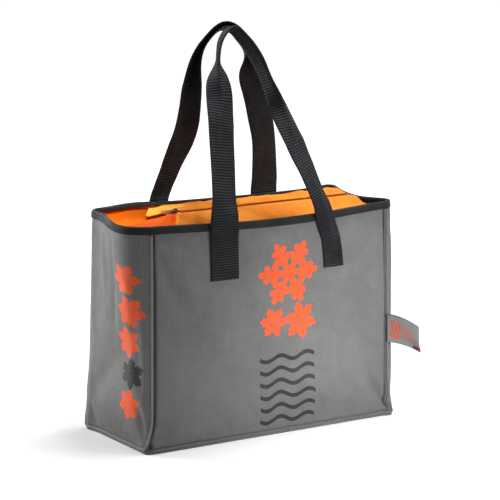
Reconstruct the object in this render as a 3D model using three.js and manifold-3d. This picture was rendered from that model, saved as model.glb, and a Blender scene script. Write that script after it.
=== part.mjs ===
// Soft-sided cooler bag: an open-topped tote of printed outer panels, foam and lining, with a bound rim,
// a zipped closure across the mouth, two webbing handles and a tape loop in one side seam.
// Millimetres, +Z up, origin at the middle of the base underside; the front panel faces -Y.
import * as THREE from 'three';
import Module from 'manifold-3d';

const wasm = await Module();
wasm.setup();

const { lerp, smoothstep, clamp, degToRad } = THREE.MathUtils;

// Overall form of the outer shell
const rimHeight = 290;
const baseWidth = 380;
const baseDepth = 152;
const topWidth = 374;
const topDepth = 136;
const baseCornerRadius = 7;
const cornerRadius = 10;
const cornerRise = 45;
const baseSeamWrap = degToRad(45);
const topSeamWrap = degToRad(16);

// How the open mouth bulges and sags; each fades out downwards from the rim
const bulgeStart = 120;
const handleCentre = 8;
const frontBulge = 12;
const frontSag = 4;
const backWave = 5;
const leftBulge = 18;
const rightBulge = 10;
const rightDip = 9;
const backLeftLift = 4;
const backRightLift = 2;
const rightSag = 2;

// Sheet materials, from the outside in, and the clearance that keeps two sheets apart
const clearance = 0.3;
const fabric = 1.2;
const foam = 4;
const lining = 0.8;
const seamRidge = 1.6;
const seamRidgeWidth = 1.4;
const baseSeamHeight = 4.2;
const baseSeamLip = 2;
const boardThickness = 2;
const boardInset = 0.6;
const foamBelowRim = 32;
const pinchBelowRim = 18;

// Bound rim
const bindingTape = 1;
const bindingOuterLeg = 10;
const bindingInnerLeg = 6.4;
const bindingRounding = 0.6;

// Closure across the mouth
const cloth = 0.8;
const clothSeat = 0.6;
const zipBelowRim = 0.5;
const closureSlope = degToRad(11.5);
const closureLeft = -120;
const closureRight = 168;
const closureLeftAtFrontWall = -168;
const closureLeftAtBackWall = -130;
const flapLeft = -70;
const flapRight = 118;
const flapHinge = 47;
const flapPlay = 0.6;
const zipGap = 13;

// Zip: moulded teeth on a grooved bead that clips over the tape edge
const toothPitch = 4;
const toothHeight = 2.6;
const toothReach = 0.85;
const toothHead = 0.9;
const toothNeck = 0.55;
const beadInner = 1;
const beadWidth = 1.9;
const tapeThickness = 0.6;
const tapeWidth = 11;
const tapeInBead = 0.8;
const zipEndMargin = 5;
const sliderLength = 13;
const sliderWidth = 10.4;
const sliderPlate = 1.2;
const sliderRest = -104;
const pullerLength = 21;
const pullerWidth = 6;
const pullerThickness = 1.2;
const stopLength = 2.2;
const flangeWidth = 1.1;
const flangeShort = 6;
const bailBar = 1;
const bailHalf = 3.2;
const bailWidth = 2.2;
const bailInside = 2;
const eyeBar = 1.1;
const pinPlay = 0.35;
const weldDepth = 0.2;

// Handles
const webbing = 1.6;
const webbingWidth = 40;
const gatheredWidth = 31;
const patchTop = rimHeight - 35;
const patchBottom = patchTop - 42;
const patchGap = 0.6;
const gripBend = 1.5;
const gripFold = degToRad(86);
const gatherEnd = rimHeight + 90;
const rimClear = rimHeight + 8;
const turnStart = rimHeight - 14;
const turnEnd = rimHeight + 30;
const loopSpans = 42;

// Tape loop in the right front seam
const sideTape = 0.7;
const sideTapeWidth = 38;
const sideTapeTop = 139;
const sideTapeLength = 44;
const sideTapeSlot = 1.4;
const sideTapeDroop = 9;
const sideTapeAngle = degToRad(-55);

const part = new THREE.Group();

const looks = {
  outer: { color: 0x6e6e6e, roughness: 0.85 },
  foam: { color: 0xe8e6e0, roughness: 0.95 },
  lining: { color: 0xf08a24, roughness: 0.7 },
  board: { color: 0x3a3a3a, roughness: 0.6 },
  binding: { color: 0x2a2a2a, roughness: 0.9 },
  webbing: { color: 0x1c1c1c, roughness: 0.85 },
  tape: { color: 0xd97a20, roughness: 0.85 },
  zip: { color: 0x2a2522, roughness: 0.5 },
  metal: { color: 0xb8ad98, roughness: 0.35, metalness: 0.9 },
  label: { color: 0x8a8a8a, roughness: 0.8 }
};

function addPart(name, geometry, look, parent = part) {
  const mesh = new THREE.Mesh(geometry, new THREE.MeshStandardMaterial(looks[look]));
  mesh.name = name;
  parent.add(mesh);
  return mesh;
}

// Outer shell as one surface: a side, a place along it and a height give a point

const sides = {
  front: { along: [1, 0], out: [0, -1] },
  right: { along: [0, 1], out: [1, 0] },
  back: { along: [-1, 0], out: [0, 1] },
  left: { along: [0, -1], out: [-1, 0] }
};

// Half width, half depth and corner of the shell's inner fabric face at one height
function plan(z) {
  const v = z / rimHeight;
  const round = smoothstep(z, 0, cornerRise);
  return {
    halfWidth: lerp(baseWidth, topWidth, v) / 2 - fabric,
    halfDepth: lerp(baseDepth, topDepth, v) / 2 - fabric,
    radius: lerp(baseCornerRadius, cornerRadius, round),
    wrap: lerp(baseSeamWrap, topSeamWrap, round)
  };
}

// Half length of one side between its seams, and of its straight stretch
function sideSpan(side, z) {
  const { halfWidth, halfDepth, radius, wrap } = plan(z);
  const wide = side === 'front' || side === 'back';
  const straight = (wide ? halfWidth : halfDepth) - radius;
  const arc = wide ? wrap : Math.PI / 2 - wrap;
  return { straight, half: straight + arc * radius, distance: wide ? halfDepth : halfWidth, radius };
}

function flatPoint(side, c, z) {
  const { straight, distance, radius } = sideSpan(side, z);
  const { along, out } = sides[side];
  const run = clamp(c, -straight, straight);
  const angle = Math.min((Math.abs(c) - Math.abs(run)) / radius, Math.PI / 2);
  const past = Math.abs(c) - Math.abs(run) - angle * radius;
  const u = run + Math.sign(c) * radius * Math.sin(angle);
  const n = distance - radius * (1 - Math.cos(angle)) - past;
  return [along[0] * u + out[0] * n, along[1] * u + out[1] * n];
}

// A hump with its foot at the two front seams and its crown midway between the handle ends
function frontHump(x, z) {
  const reach = sideSpan('front', z).straight;
  const fromCrown = x - handleCentre;
  const u = fromCrown / (fromCrown < 0 ? reach + handleCentre : reach - handleCentre);
  return Math.pow(Math.max(0, 1 - u * u), 1.5);
}

// Skewed hump along a gusset, largest a quarter of the way from the front seam
function gussetHump(s, tail) {
  const peak = 0.8 / (0.8 + tail);
  const hump = (q) => Math.pow(q, 0.8) * Math.pow(1 - q, tail);
  return hump(s) / hump(peak);
}

function bulge([x, y], z) {
  const { halfWidth, halfDepth, radius } = plan(z);
  const rise = smoothstep(z, bulgeStart, rimHeight);
  const onFront = clamp((-y - halfDepth + radius) / radius, 0, 1);
  const onBack = clamp((y - halfDepth + radius) / radius, 0, 1);
  const onSide = clamp((Math.abs(x) - halfWidth + radius) / radius, 0, 1);
  const start = radius / 2;
  const s = clamp((y + halfDepth - start) / (2 * (halfDepth - start)), 0, 1);
  const wave = Math.sin(Math.PI * clamp(x / (halfWidth - radius), -1, 1));
  const front = frontBulge * frontHump(x, z) * onFront;
  const back = -backWave * wave * onBack;
  const left = leftBulge * gussetHump(s, 2.6);
  const right = rightBulge * gussetHump(s, 6) - rightDip * Math.sin(Math.PI * s);
  const side = x < 0 ? -left : right;
  return [rise * side * onSide, rise * (back - front)];
}

function shellPoint(side, c, z) {
  const flat = flatPoint(side, c, z);
  const [dx, dy] = bulge(flat, z);
  return [flat[0] + dx, flat[1] + dy];
}

function shellNormal(side, c, z) {
  const step = 0.5;
  const before = shellPoint(side, c - step, z);
  const after = shellPoint(side, c + step, z);
  const length = Math.hypot(after[0] - before[0], after[1] - before[1]);
  return [(after[1] - before[1]) / length, -(after[0] - before[0]) / length];
}

// Point at a distance outside (or, negative, inside) the inner face of the outer fabric
function offsetPoint(side, c, z, distance) {
  const [x, y] = shellPoint(side, c, z);
  const [nx, ny] = shellNormal(side, c, z);
  return new THREE.Vector3(x + nx * distance, y + ny * distance, z);
}

// Height of the bound rim round the mouth
function rimTop(side, c) {
  const { halfWidth, halfDepth, radius } = plan(rimHeight);
  const [x, y] = flatPoint(side, c, rimHeight);
  const onFront = clamp((-y - halfDepth + radius) / radius, 0, 1);
  const near = (px, py, spread) => Math.exp(-((x - px) ** 2 + (y - py) ** 2) / spread ** 2);
  return rimHeight - frontSag * frontHump(x, rimHeight) * onFront
    + backLeftLift * near(-0.7 * halfWidth, halfDepth, halfWidth / 4)
    + backRightLift * near(halfWidth, halfDepth, halfWidth / 7)
    - rightSag * near(halfWidth, -0.1 * halfDepth, halfDepth / 1.8);
}

const panelTop = (side, c) => rimTop(side, c) - bindingTape - clearance;

// Mesh builders

function solidFrom(vertices, triangles) {
  const geometry = new THREE.BufferGeometry();
  const coordinates = vertices.flatMap((p) => [p.x, p.y, p.z]);
  geometry.setAttribute('position', new THREE.Float32BufferAttribute(coordinates, 3));
  let volume = 0;
  for (let i = 0; i < triangles.length; i += 3) {
    const [a, b, c] = [0, 1, 2].map((k) => vertices[triangles[i + k]]);
    volume += a.dot(new THREE.Vector3().crossVectors(b, c));
  }
  geometry.setIndex(volume > 0 ? triangles : triangles.slice().reverse());
  return geometry;
}

function quad(triangles, a, b, c, d) {
  triangles.push(a, b, c, a, c, d);
}

// A curved plate: grids of outer and inner points joined round their four edges
function plateSolid(outer, inner) {
  const rows = outer.length;
  const columns = outer[0].length;
  const vertices = [...outer.flat(), ...inner.flat()];
  const triangles = [];
  const at = (layer, i, j) => layer * rows * columns + i * columns + j;
  for (let i = 0; i + 1 < rows; i += 1) {
    for (let j = 0; j + 1 < columns; j += 1) {
      quad(triangles, at(0, i, j), at(0, i, j + 1), at(0, i + 1, j + 1), at(0, i + 1, j));
      quad(triangles, at(1, i, j), at(1, i + 1, j), at(1, i + 1, j + 1), at(1, i, j + 1));
    }
    quad(triangles, at(0, i, 0), at(0, i + 1, 0), at(1, i + 1, 0), at(1, i, 0));
    const last = columns - 1;
    quad(triangles, at(0, i, last), at(1, i, last), at(1, i + 1, last), at(0, i + 1, last));
  }
  for (let j = 0; j + 1 < columns; j += 1) {
    quad(triangles, at(1, 0, j), at(1, 0, j + 1), at(0, 0, j + 1), at(0, 0, j));
    const top = rows - 1;
    quad(triangles, at(0, top, j), at(0, top, j + 1), at(1, top, j + 1), at(1, top, j));
  }
  return solidFrom(vertices, triangles);
}

// A loft through closed rings of equal length; caps lists an end ring's triangles, else the rings close up.
// innerEdges are the ring edges split along the other diagonal, so that both faces of a thin sheet bend alike
function loftSolid(rings, caps, innerEdges = []) {
  const count = rings[0].length;
  const vertices = rings.flat();
  const triangles = [];
  const spans = caps ? rings.length - 1 : rings.length;
  for (let i = 0; i < spans; i += 1) {
    const next = (i + 1) % rings.length;
    for (let k = 0; k < count; k += 1) {
      const after = (k + 1) % count;
      const [a, b, c, d] = [i * count + k, i * count + after, next * count + after, next * count + k];
      if (innerEdges.includes(k)) {
        quad(triangles, b, c, d, a);
      } else {
        quad(triangles, a, b, c, d);
      }
    }
  }
  if (caps) {
    const end = (rings.length - 1) * count;
    for (const [a, b, c] of caps) {
      triangles.push(c, b, a, end + a, end + b, end + c);
    }
  }
  return solidFrom(vertices, triangles);
}

// curveSegments is the number of straight steps along each curve of the outline
function extrudeShape(shape, depth, curveSegments = 1) {
  return new THREE.ExtrudeGeometry(shape, { depth, bevelEnabled: false, curveSegments });
}

function capTriangles(points) {
  return THREE.ShapeUtils.triangulateShape(points.map(([x, y]) => new THREE.Vector2(x, y)), []);
}

// Places along a side from seam to seam, each given as a function of height, so that every sheet on that side
// bends along the same lines: the two corner arcs, the straight stretch between them, and the sewn edges
const seamPull = clearance * 0.55;

function arcPlace(side, sign, f, fromSeam = 0) {
  return (z) => {
    const { straight, half } = sideSpan(side, z);
    return sign * (lerp(straight, half, f) - fromSeam);
  };
}

function straightPlace(side, f) {
  return (z) => {
    const { straight } = sideSpan(side, z);
    return lerp(-straight, straight, f);
  };
}

const straightShares = {
  front: [0.1, 0.22, 0.35, 0.5, 0.65, 0.78, 0.9],
  back: [0.1, 0.22, 0.35, 0.5, 0.65, 0.78, 0.9],
  right: [0.08, 0.17, 0.28, 0.42, 0.6, 0.8],
  left: [0.92, 0.83, 0.72, 0.58, 0.4, 0.2].reverse()
};

// Width of the raised seam, narrowed where the corner arc is short
function ridgeWidth(side, z) {
  const { straight, half } = sideSpan(side, z);
  return Math.min(seamRidgeWidth, (half - straight) * 0.15);
}

// Inner ends of the arcs and the steps on them; a gusset's raised seams add their own places
function columnsOf(side, ridged = false) {
  const wide = side === 'front' || side === 'back';
  const arc = wide ? [0.5, 0] : [0.67, 0.33, 0];
  const ridge = ridged && !wide ? [1, 2] : [];
  const ends = (sign) => [
    arcPlace(side, sign, 1, seamPull),
    ...ridge.map((n) => (z) => sign * (sideSpan(side, z).half - n * ridgeWidth(side, z))),
    ...arc.map((f) => arcPlace(side, sign, f))
  ];
  return [...ends(-1), ...straightShares[side].map((f) => straightPlace(side, f)), ...ends(1).reverse()];
}

// A sheet that follows one side of the shell between the heights given by its rows
function wallSheet({ side, columns, rows, high, outer, inner }) {
  const grid = (distance) => rows.map((row) => columns.map((column) => {
    const z = row === 'top' ? high(side, column(rimHeight)) : row;
    return offsetPoint(side, column(z), z, distance(column(z), z, side));
  }));
  return plateSolid(grid(outer), grid(inner));
}

// Heights at which every sheet of a wall bends
const foamTop = rimHeight - foamBelowRim;
const pinchTop = rimHeight - pinchBelowRim;
const bulgeHeights = [0.36, 0.66, 0.87, 1].map((v) => lerp(bulgeStart, foamTop, v));
const wallHeights = [cornerRise / 2, cornerRise, bulgeStart, ...bulgeHeights];
const upperHeights = [pinchTop, lerp(pinchTop, rimHeight, 0.45), 'top'];

// Outer fabric: four panels and the base, sewn edge to edge with a raised seam
const wallLow = baseSeamHeight + clearance;
const lipTop = wallLow + fabric;
const lipFoot = lipTop + fabric / 2;
const panelRows = [wallLow, lipTop, lipFoot, ...wallHeights, ...upperHeights];
const panelNames = { front: 'front_panel', right: 'right_gusset', back: 'back_panel', left: 'left_gusset' };

// The ridge runs up each seam and fades out just below the binding; the lip runs along the base seam
function panelOuter(c, z, side) {
  const fromSeam = sideSpan(side, z).half - Math.abs(c);
  const across = fromSeam < 1.5 * ridgeWidth(side, z) ? 1 : 0;
  const ridge = z < pinchTop - seamRidge ? seamRidge * across : 0;
  const lip = z < (lipTop + lipFoot) / 2 ? baseSeamLip : 0;
  return fabric + Math.max(ridge, lip);
}

for (const [side, name] of Object.entries(panelNames)) {
  const columns = columnsOf(side, true);
  const sheet = { side, columns, rows: panelRows, high: panelTop, outer: panelOuter, inner: () => 0 };
  addPart(name, wallSheet(sheet), 'outer');
}

// One closed ring round the shell at a height
function shellRing(z, distance) {
  const ring = [];
  for (const side of Object.keys(sides)) {
    const wide = side === 'front' || side === 'back';
    const arc = wide ? [0.5, 0] : [1, 0.67, 0.33, 0];
    const first = arc.map((f) => arcPlace(side, -1, f));
    const second = arc.map((f) => arcPlace(side, 1, f)).reverse();
    ring.push(...[...first, ...second].map((place) => offsetPoint(side, place(z), z, distance)));
  }
  return ring;
}

const ringCaps = capTriangles(shellRing(0, 0).map((p) => [p.x, p.y]));

function slab(low, high, distance) {
  return loftSolid([shellRing(low, distance), shellRing(high, distance)], ringCaps);
}

// The base turns up round its edge into the seam lip; each pair is a height and a distance outwards
const turn = fabric / 3;
const trayOutside = [
  [0, -fabric], [fabric - turn, fabric - turn], [baseSeamHeight - fabric - turn, fabric],
  [baseSeamHeight - fabric, fabric + baseSeamLip]
];
const trayInside = [[baseSeamHeight, fabric + baseSeamLip], [baseSeamHeight, 0], [fabric, 0]];
const tray = [...trayOutside, ...trayInside].map(([z, distance]) => shellRing(z, distance));
addPart('base_panel', loftSolid(tray, ringCaps), 'outer');

const boardLow = fabric + clearance;
const boardHigh = boardLow + boardThickness;
addPart('base_board', slab(boardLow, boardHigh, -boardInset), 'board');
const baseFoamLow = boardHigh + clearance;
const baseFoamHigh = baseFoamLow + foam;
addPart('base_foam', slab(baseFoamLow, baseFoamHigh, -clearance), 'foam');

// Foam and lining stand inside the outer panels; above the foam the lining closes up to the fabric
const foamOuter = -clearance;
const foamInner = foamOuter - foam;
const liningLow = baseFoamHigh + clearance;
const closing = (z) => smoothstep(z, foamTop + clearance, pinchTop);
const liningOuter = (c, z) => lerp(foamInner - clearance, -clearance, closing(z));
const liningInner = (c, z) => liningOuter(c, z) - lining;

addPart('base_lining', slab(liningLow, liningLow + lining, foamInner - clearance), 'lining');
const foamRows = [liningLow, ...wallHeights];
const wallLiningLow = liningLow + lining + clearance;
const liningRows = [wallLiningLow, ...wallHeights, lerp(foamTop, pinchTop, 0.5), ...upperHeights];

for (const side of Object.keys(sides)) {
  const columns = columnsOf(side);
  const pad = { side, columns, rows: foamRows, outer: () => foamOuter, inner: () => foamInner };
  addPart(`${side}_foam`, wallSheet(pad), 'foam');
  const skin = { side, columns, rows: liningRows, high: panelTop, outer: liningOuter, inner: liningInner };
  addPart(`${side}_lining`, wallSheet(skin), 'lining');
}

// Rim binding: tape folded over the top edges of the outer fabric and the lining
const bindingOut = fabric + clearance + bindingTape;
const bindingIn = -clearance - lining - clearance - bindingTape;
const bindingSection = [
  [bindingOut, -bindingOuterLeg], [bindingOut, -bindingRounding], [bindingOut - bindingRounding, 0],
  [bindingIn + bindingRounding, 0], [bindingIn, -bindingRounding], [bindingIn, -bindingInnerLeg],
  [bindingIn + bindingTape, -bindingInnerLeg], [bindingIn + bindingTape, -bindingTape],
  [bindingOut - bindingTape, -bindingTape], [bindingOut - bindingTape, -bindingOuterLeg]
];
const bindingRings = [];
for (const side of Object.keys(sides)) {
  for (const column of columnsOf(side).slice(0, -1)) {
    const top = rimTop(side, column(rimHeight));
    bindingRings.push(bindingSection.map(([distance, drop]) => {
      const z = top + drop;
      return offsetPoint(side, column(z), z, distance);
    }));
  }
}
addPart('rim_binding', loftSolid(bindingRings), 'binding');

// Closure: two cloth halves rise from seams under the binding to the zip
// Each half is a border that stays and a flap that lifts

function extrude(points, depth) {
  const shape = new THREE.Shape(points.map(([x, y]) => new THREE.Vector2(x, y)));
  return extrudeShape(shape, depth);
}

const zipHeight = rimHeight - zipBelowRim;
const clothFold = beadInner + beadWidth / 2;

// Frame of one half: x along the zip, y from the zip to the wall, z up through the cloth
function closureHalf(sign) {
  const group = new THREE.Group();
  group.position.set(0, sign * clothFold, zipHeight);
  group.rotation.x = -sign * closureSlope;
  part.add(group);
  return group;
}

// Distance in a half's own plane from its fold line to the wall lining
function wallReach(side, x) {
  const sign = side === 'front' ? -1 : 1;
  let reach = plan(rimHeight).halfDepth;
  for (let pass = 0; pass < 6; pass += 1) {
    const z = zipHeight - reach * Math.sin(closureSlope);
    const wall = offsetPoint(side, -sign * x, z, liningInner(0, z) - clothSeat);
    reach = (sign * wall.y - clothFold) / Math.cos(closureSlope);
  }
  return reach;
}

const clothInner = zipGap / 2 - clothFold;
const hingeReach = flapHinge - clothFold;

function buildClosureHalf(side) {
  const sign = side === 'front' ? -1 : 1;
  const group = closureHalf(sign);
  const wallLeft = side === 'front' ? closureLeftAtFrontWall : closureLeftAtBackWall;
  const places = straightShares[side].map((f) => straightPlace(side, f)(zipHeight));
  const bends = places.map((c) => -sign * c).sort((a, b) => a - b);
  const inside = bends.filter((x) => x > wallLeft + 1 && x < closureRight - 1);
  const wall = [wallLeft, ...inside, closureRight].map((x) => [x, sign * wallReach(side, x)]);
  const clothLow = tapeThickness / 2 + clearance;
  const border = [
    ...wall,
    [closureRight, sign * clothInner], [flapRight, sign * clothInner], [flapRight, sign * hingeReach],
    [flapLeft, sign * hingeReach], [flapLeft, sign * clothInner], [closureLeft, sign * clothInner]
  ];
  const fixed = addPart(`closure_${side}_border`, extrude(border, cloth), 'lining', group);
  fixed.position.z = clothLow;
  const left = flapLeft + flapPlay;
  const right = flapRight - flapPlay;
  const flapOuter = hingeReach - flapPlay;
  const strip = (from, to, near, far) => [
    [from, sign * near], [to, sign * near], [to, sign * far], [from, sign * far]
  ];
  const flap = strip(left, right, clothInner, flapOuter);
  const moving = addPart(`closure_${side}_flap`, extrude(flap, cloth), 'lining', group);
  moving.position.z = clothLow;
  // The tape runs under the cloth, in three lengths that meet at the ends of the flap
  const tapeIn = (beadWidth - tapeInBead) / 2;
  const lengths = [
    ['left', closureLeft, flapLeft],
    ['middle', left, right],
    ['right', flapRight, closureRight]
  ];
  for (const [place, from, to] of lengths) {
    const outline = strip(from, to, tapeIn, tapeIn + tapeWidth);
    const tape = addPart(`zip_tape_${side}_${place}`, extrude(outline, tapeThickness), 'tape', group);
    tape.position.z = -tapeThickness / 2;
  }
}

buildClosureHalf('front');
buildClosureHalf('back');

// Zip chain: one comb of bead and teeth for each length, grooved for the tape edge
function toManifold(geometry) {
  const position = geometry.getAttribute('position');
  const keys = new Map();
  const vertices = [];
  const index = [];
  for (let i = 0; i < position.count; i += 1) {
    const p = [position.getX(i), position.getY(i), position.getZ(i)];
    const key = p.map((v) => Math.round(v * 1e4)).join();
    if (!keys.has(key)) {
      keys.set(key, vertices.length / 3);
      vertices.push(...p);
    }
    index.push(keys.get(key));
  }
  const order = geometry.index ? Array.from(geometry.index.array, (i) => index[i]) : index;
  const vertProperties = new Float32Array(vertices);
  const mesh = new wasm.Mesh({ numProp: 3, vertProperties, triVerts: new Uint32Array(order) });
  return new wasm.Manifold(mesh);
}

function fromManifold(solid) {
  const mesh = solid.getMesh();
  const geometry = new THREE.BufferGeometry();
  geometry.setAttribute('position', new THREE.Float32BufferAttribute(mesh.vertProperties, 3));
  geometry.setIndex(Array.from(mesh.triVerts));
  return geometry;
}

const box = (x, y, z, cx, cy, cz) => new THREE.BoxGeometry(x, y, z).translate(cx, cy, cz);

// Groove for the tape edge in a bead or stop whose outer face lies at the given y
const grooveDepth = tapeInBead + clearance;
const groove = (from, to, face) => toManifold(box(
  to - from + 2, 2 * grooveDepth, tapeThickness + 2 * clearance, (from + to) / 2, face, 0
));

// Ends of the three chain lengths, between two teeth of that side's own row
function chainStops(side) {
  const shift = side === 'front' ? 0.5 : 0;
  const snap = (x) => (Math.round(x / toothPitch - shift) + shift) * toothPitch;
  const from = closureLeft + zipEndMargin;
  const to = closureRight - zipEndMargin;
  return [from, flapLeft + flapPlay / 2, flapRight - flapPlay / 2, to].map(snap);
}

function chainGeometry(side, from, to) {
  const sign = side === 'front' ? -1 : 1;
  const shift = side === 'front' ? 0 : 0.5;
  const root = sign * beadInner;
  const back = sign * (beadInner + beadWidth);
  const tip = -sign * toothReach;
  const head = -sign * toothReach * 0.35;
  const outline = [[from, back], [to, back], [to, root]];
  const first = Math.ceil((from + toothHead) / toothPitch - shift);
  const last = Math.floor((to - toothHead) / toothPitch - shift);
  for (let k = last; k >= first; k -= 1) {
    const x = (k + shift) * toothPitch;
    outline.push([x + toothNeck, root], [x + toothHead, head], [x + toothNeck, tip]);
    outline.push([x - toothNeck, tip], [x - toothHead, head], [x - toothNeck, root]);
  }
  outline.push([from, root]);
  const comb = extrude(outline, toothHeight).translate(0, 0, -toothHeight / 2);
  return fromManifold(toManifold(comb).subtract(groove(from, to, back)));
}

const beadCentre = beadInner + beadWidth / 2;
const beadBack = beadInner + beadWidth;

for (const side of ['front', 'back']) {
  const [start, flapStart, flapEnd, end] = chainStops(side);
  const play = flapPlay / 2;
  const lengths = [
    ['left', start, flapStart - play],
    ['middle', flapStart + play, flapEnd - play],
    ['right', flapEnd + play, end]
  ];
  for (const [place, from, to] of lengths) {
    const chain = addPart(`zip_teeth_${side}_${place}`, chainGeometry(side, from, to), 'zip');
    chain.position.z = zipHeight;
  }
  const sign = side === 'front' ? -1 : 1;
  const near = start - clearance;
  const far = near - stopLength;
  const block = toManifold(box(stopLength, beadWidth, toothHeight, (near + far) / 2, sign * beadCentre, 0));
  const stop = fromManifold(block.subtract(groove(far, near, sign * beadBack)));
  addPart(`zip_top_stop_${side}`, stop, 'metal').position.z = zipHeight;
}

// Bottom stop: one block that holds both tape edges together
const chainEnd = Math.max(chainStops('front')[3], chainStops('back')[3]) + clearance;
let endBlock = toManifold(box(stopLength, 2 * beadBack, toothHeight, chainEnd + stopLength / 2, 0, 0));
for (const sign of [-1, 1]) {
  endBlock = endBlock.subtract(groove(chainEnd, chainEnd + stopLength, sign * beadBack));
}
addPart('zip_bottom_stop', fromManifold(endBlock), 'metal').position.z = zipHeight;

// Slider: two plates with flanges that run along the chain, a bail on the upper one and a puller in the bail
const plateGap = toothHeight / 2 + clearance;
const flangeTip = tapeThickness / 2 + clearance;
const tapeFall = (sliderWidth / 2 - clothFold) * Math.tan(closureSlope);

function sliderPlateSolid(sign) {
  const nose = sliderLength / 2;
  const half = sliderWidth / 2;
  const round = sliderWidth / 5;
  const shoulder = 1.4 * round;
  const outline = new THREE.Shape();
  outline.moveTo(-nose + round, -half);
  outline.lineTo(nose - shoulder, -half);
  outline.quadraticCurveTo(nose, -half + round / 4, nose, -half + shoulder);
  outline.lineTo(nose, half - shoulder);
  outline.quadraticCurveTo(nose, half - round / 4, nose - shoulder, half);
  outline.lineTo(-nose + round, half);
  outline.quadraticCurveTo(-nose, half, -nose, half - round);
  outline.lineTo(-nose + round / 2, 0);
  outline.lineTo(-nose, -half + round);
  outline.quadraticCurveTo(-nose, -half, -nose + round, -half);
  const plate = extrudeShape(outline, sliderPlate, 3);
  plate.translate(0, 0, sign > 0 ? plateGap : -plateGap - sliderPlate);
  let solid = toManifold(plate);
  const flangeHeight = plateGap - flangeTip - (sign < 0 ? tapeFall : 0) + weldDepth;
  const flangeZ = sign * (plateGap + weldDepth - flangeHeight / 2);
  for (const edge of [-1, 1]) {
    const flangeY = edge * (half - flangeWidth / 2);
    const flange = box(sliderLength - flangeShort, flangeWidth, flangeHeight, 0, flangeY, flangeZ);
    solid = solid.add(toManifold(flange));
  }
  return solid;
}

const pinHeight = plateGap + sliderPlate + pinPlay + eyeBar / 2;
const bailTop = bailInside + bailBar;
const bailShoulder = bailInside - bailBar / 2;
const bailRound = 1.8 * bailBar;
const bailOutline = new THREE.Shape();
bailOutline.moveTo(-bailHalf, 0);
bailOutline.lineTo(-bailHalf, bailShoulder);
bailOutline.quadraticCurveTo(-bailHalf, bailTop, -bailHalf + bailRound, bailTop);
bailOutline.lineTo(bailHalf - bailRound, bailTop);
bailOutline.quadraticCurveTo(bailHalf, bailTop, bailHalf, bailShoulder);
bailOutline.lineTo(bailHalf, 0);
bailOutline.lineTo(bailHalf - bailBar, 0);
bailOutline.lineTo(bailHalf - bailBar, bailInside);
bailOutline.lineTo(-bailHalf + bailBar, bailInside);
bailOutline.lineTo(-bailHalf + bailBar, 0);
const bail = extrudeShape(bailOutline, bailWidth, 2);
bail.rotateX(Math.PI / 2);
bail.translate(0, bailWidth / 2, plateGap + sliderPlate - weldDepth);
const upperSolid = sliderPlateSolid(1).add(toManifold(bail));
const upperSlider = addPart('zip_slider_top', fromManifold(upperSolid), 'metal');
upperSlider.position.set(sliderRest, 0, zipHeight);
const lowerSlider = addPart('zip_slider_bottom', fromManifold(sliderPlateSolid(-1)), 'metal');
lowerSlider.position.set(sliderRest, 0, zipHeight);

// Puller: a flat tab whose eye bar lies under the bail; it points away from the closed teeth
const pullerOutline = new THREE.Shape();
const pullerHalf = pullerWidth / 2;
const waist = 0.75 * pullerHalf;
const eyeLength = bailHalf + eyeBar;
const eyeEnd = eyeLength + eyeBar / 2;
pullerOutline.moveTo(eyeBar / 2, -pullerHalf);
pullerOutline.lineTo(eyeBar / 2, pullerHalf);
pullerOutline.lineTo(-eyeEnd, pullerHalf);
pullerOutline.lineTo(-eyeEnd - waist, waist);
pullerOutline.lineTo(-pullerLength + pullerHalf, pullerHalf);
pullerOutline.quadraticCurveTo(-pullerLength, pullerHalf, -pullerLength, 0);
pullerOutline.quadraticCurveTo(-pullerLength, -pullerHalf, -pullerLength + pullerHalf, -pullerHalf);
pullerOutline.lineTo(-eyeEnd - waist, -waist);
pullerOutline.lineTo(-eyeEnd, -pullerHalf);
const eye = new THREE.Path();
const eyeHalf = bailWidth / 2 + clearance;
eye.moveTo(-eyeBar / 2, -eyeHalf);
eye.lineTo(-eyeLength, -eyeHalf);
eye.lineTo(-eyeLength, eyeHalf);
eye.lineTo(-eyeBar / 2, eyeHalf);
pullerOutline.holes.push(eye);
const pullerTab = extrudeShape(pullerOutline, pullerThickness, 4);
pullerTab.translate(0, 0, -pullerThickness / 2);
const puller = addPart('zip_puller', pullerTab, 'metal');
puller.position.set(sliderRest, 0, zipHeight + pinHeight);

// Handles: webbing sewn flat on the panel, free above the patch, folded in half along its middle for the grip

const patchColumns = [0, 0.25, 0.5, 0.75, 1];
const patchRows = [0, 0.35, 0.7, 1];
const strapFace = fabric + patchGap;

// A sewn end follows the panel between two heights, leaning by the given shift over its height
function sewnEnd(side, foot, lean, width) {
  const grid = (distance) => patchRows.map((v) => patchColumns.map((t) => {
    const c = foot + lean * v + lerp(-width / 2, width / 2, t);
    return offsetPoint(side, c, lerp(patchBottom, patchTop, v), distance);
  }));
  return plateSolid(grid(strapFace + webbing), grid(strapFace));
}

// Section of the webbing in its own plane: width across, depth towards the grip's inner side
function webbingSection(width, fold) {
  const flat = width / 2 - gripBend;
  const arm = [Math.cos(fold), Math.sin(fold)];
  const knee = gripBend * (fold > 0.01 ? Math.sin(fold) / fold : 1);
  const kneeDepth = gripBend * (fold > 0.01 ? (1 - Math.cos(fold)) / fold : 0);
  const half = webbing / 2;
  const place = (run, lift) => [
    knee + arm[0] * run + arm[1] * lift,
    kneeDepth + arm[1] * run - arm[0] * lift
  ];
  const crown = [[0, -half], [0, half]];
  const outerArm = [place(0, half), place(flat, half)];
  const innerArm = [place(flat, -half), place(0, -half)];
  const mirrored = (arms) => arms.map(([u, v]) => [-u, v]).reverse();
  return [crown[0], ...outerArm, ...innerArm, crown[1], ...mirrored(innerArm), ...mirrored(outerArm)];
}

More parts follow.
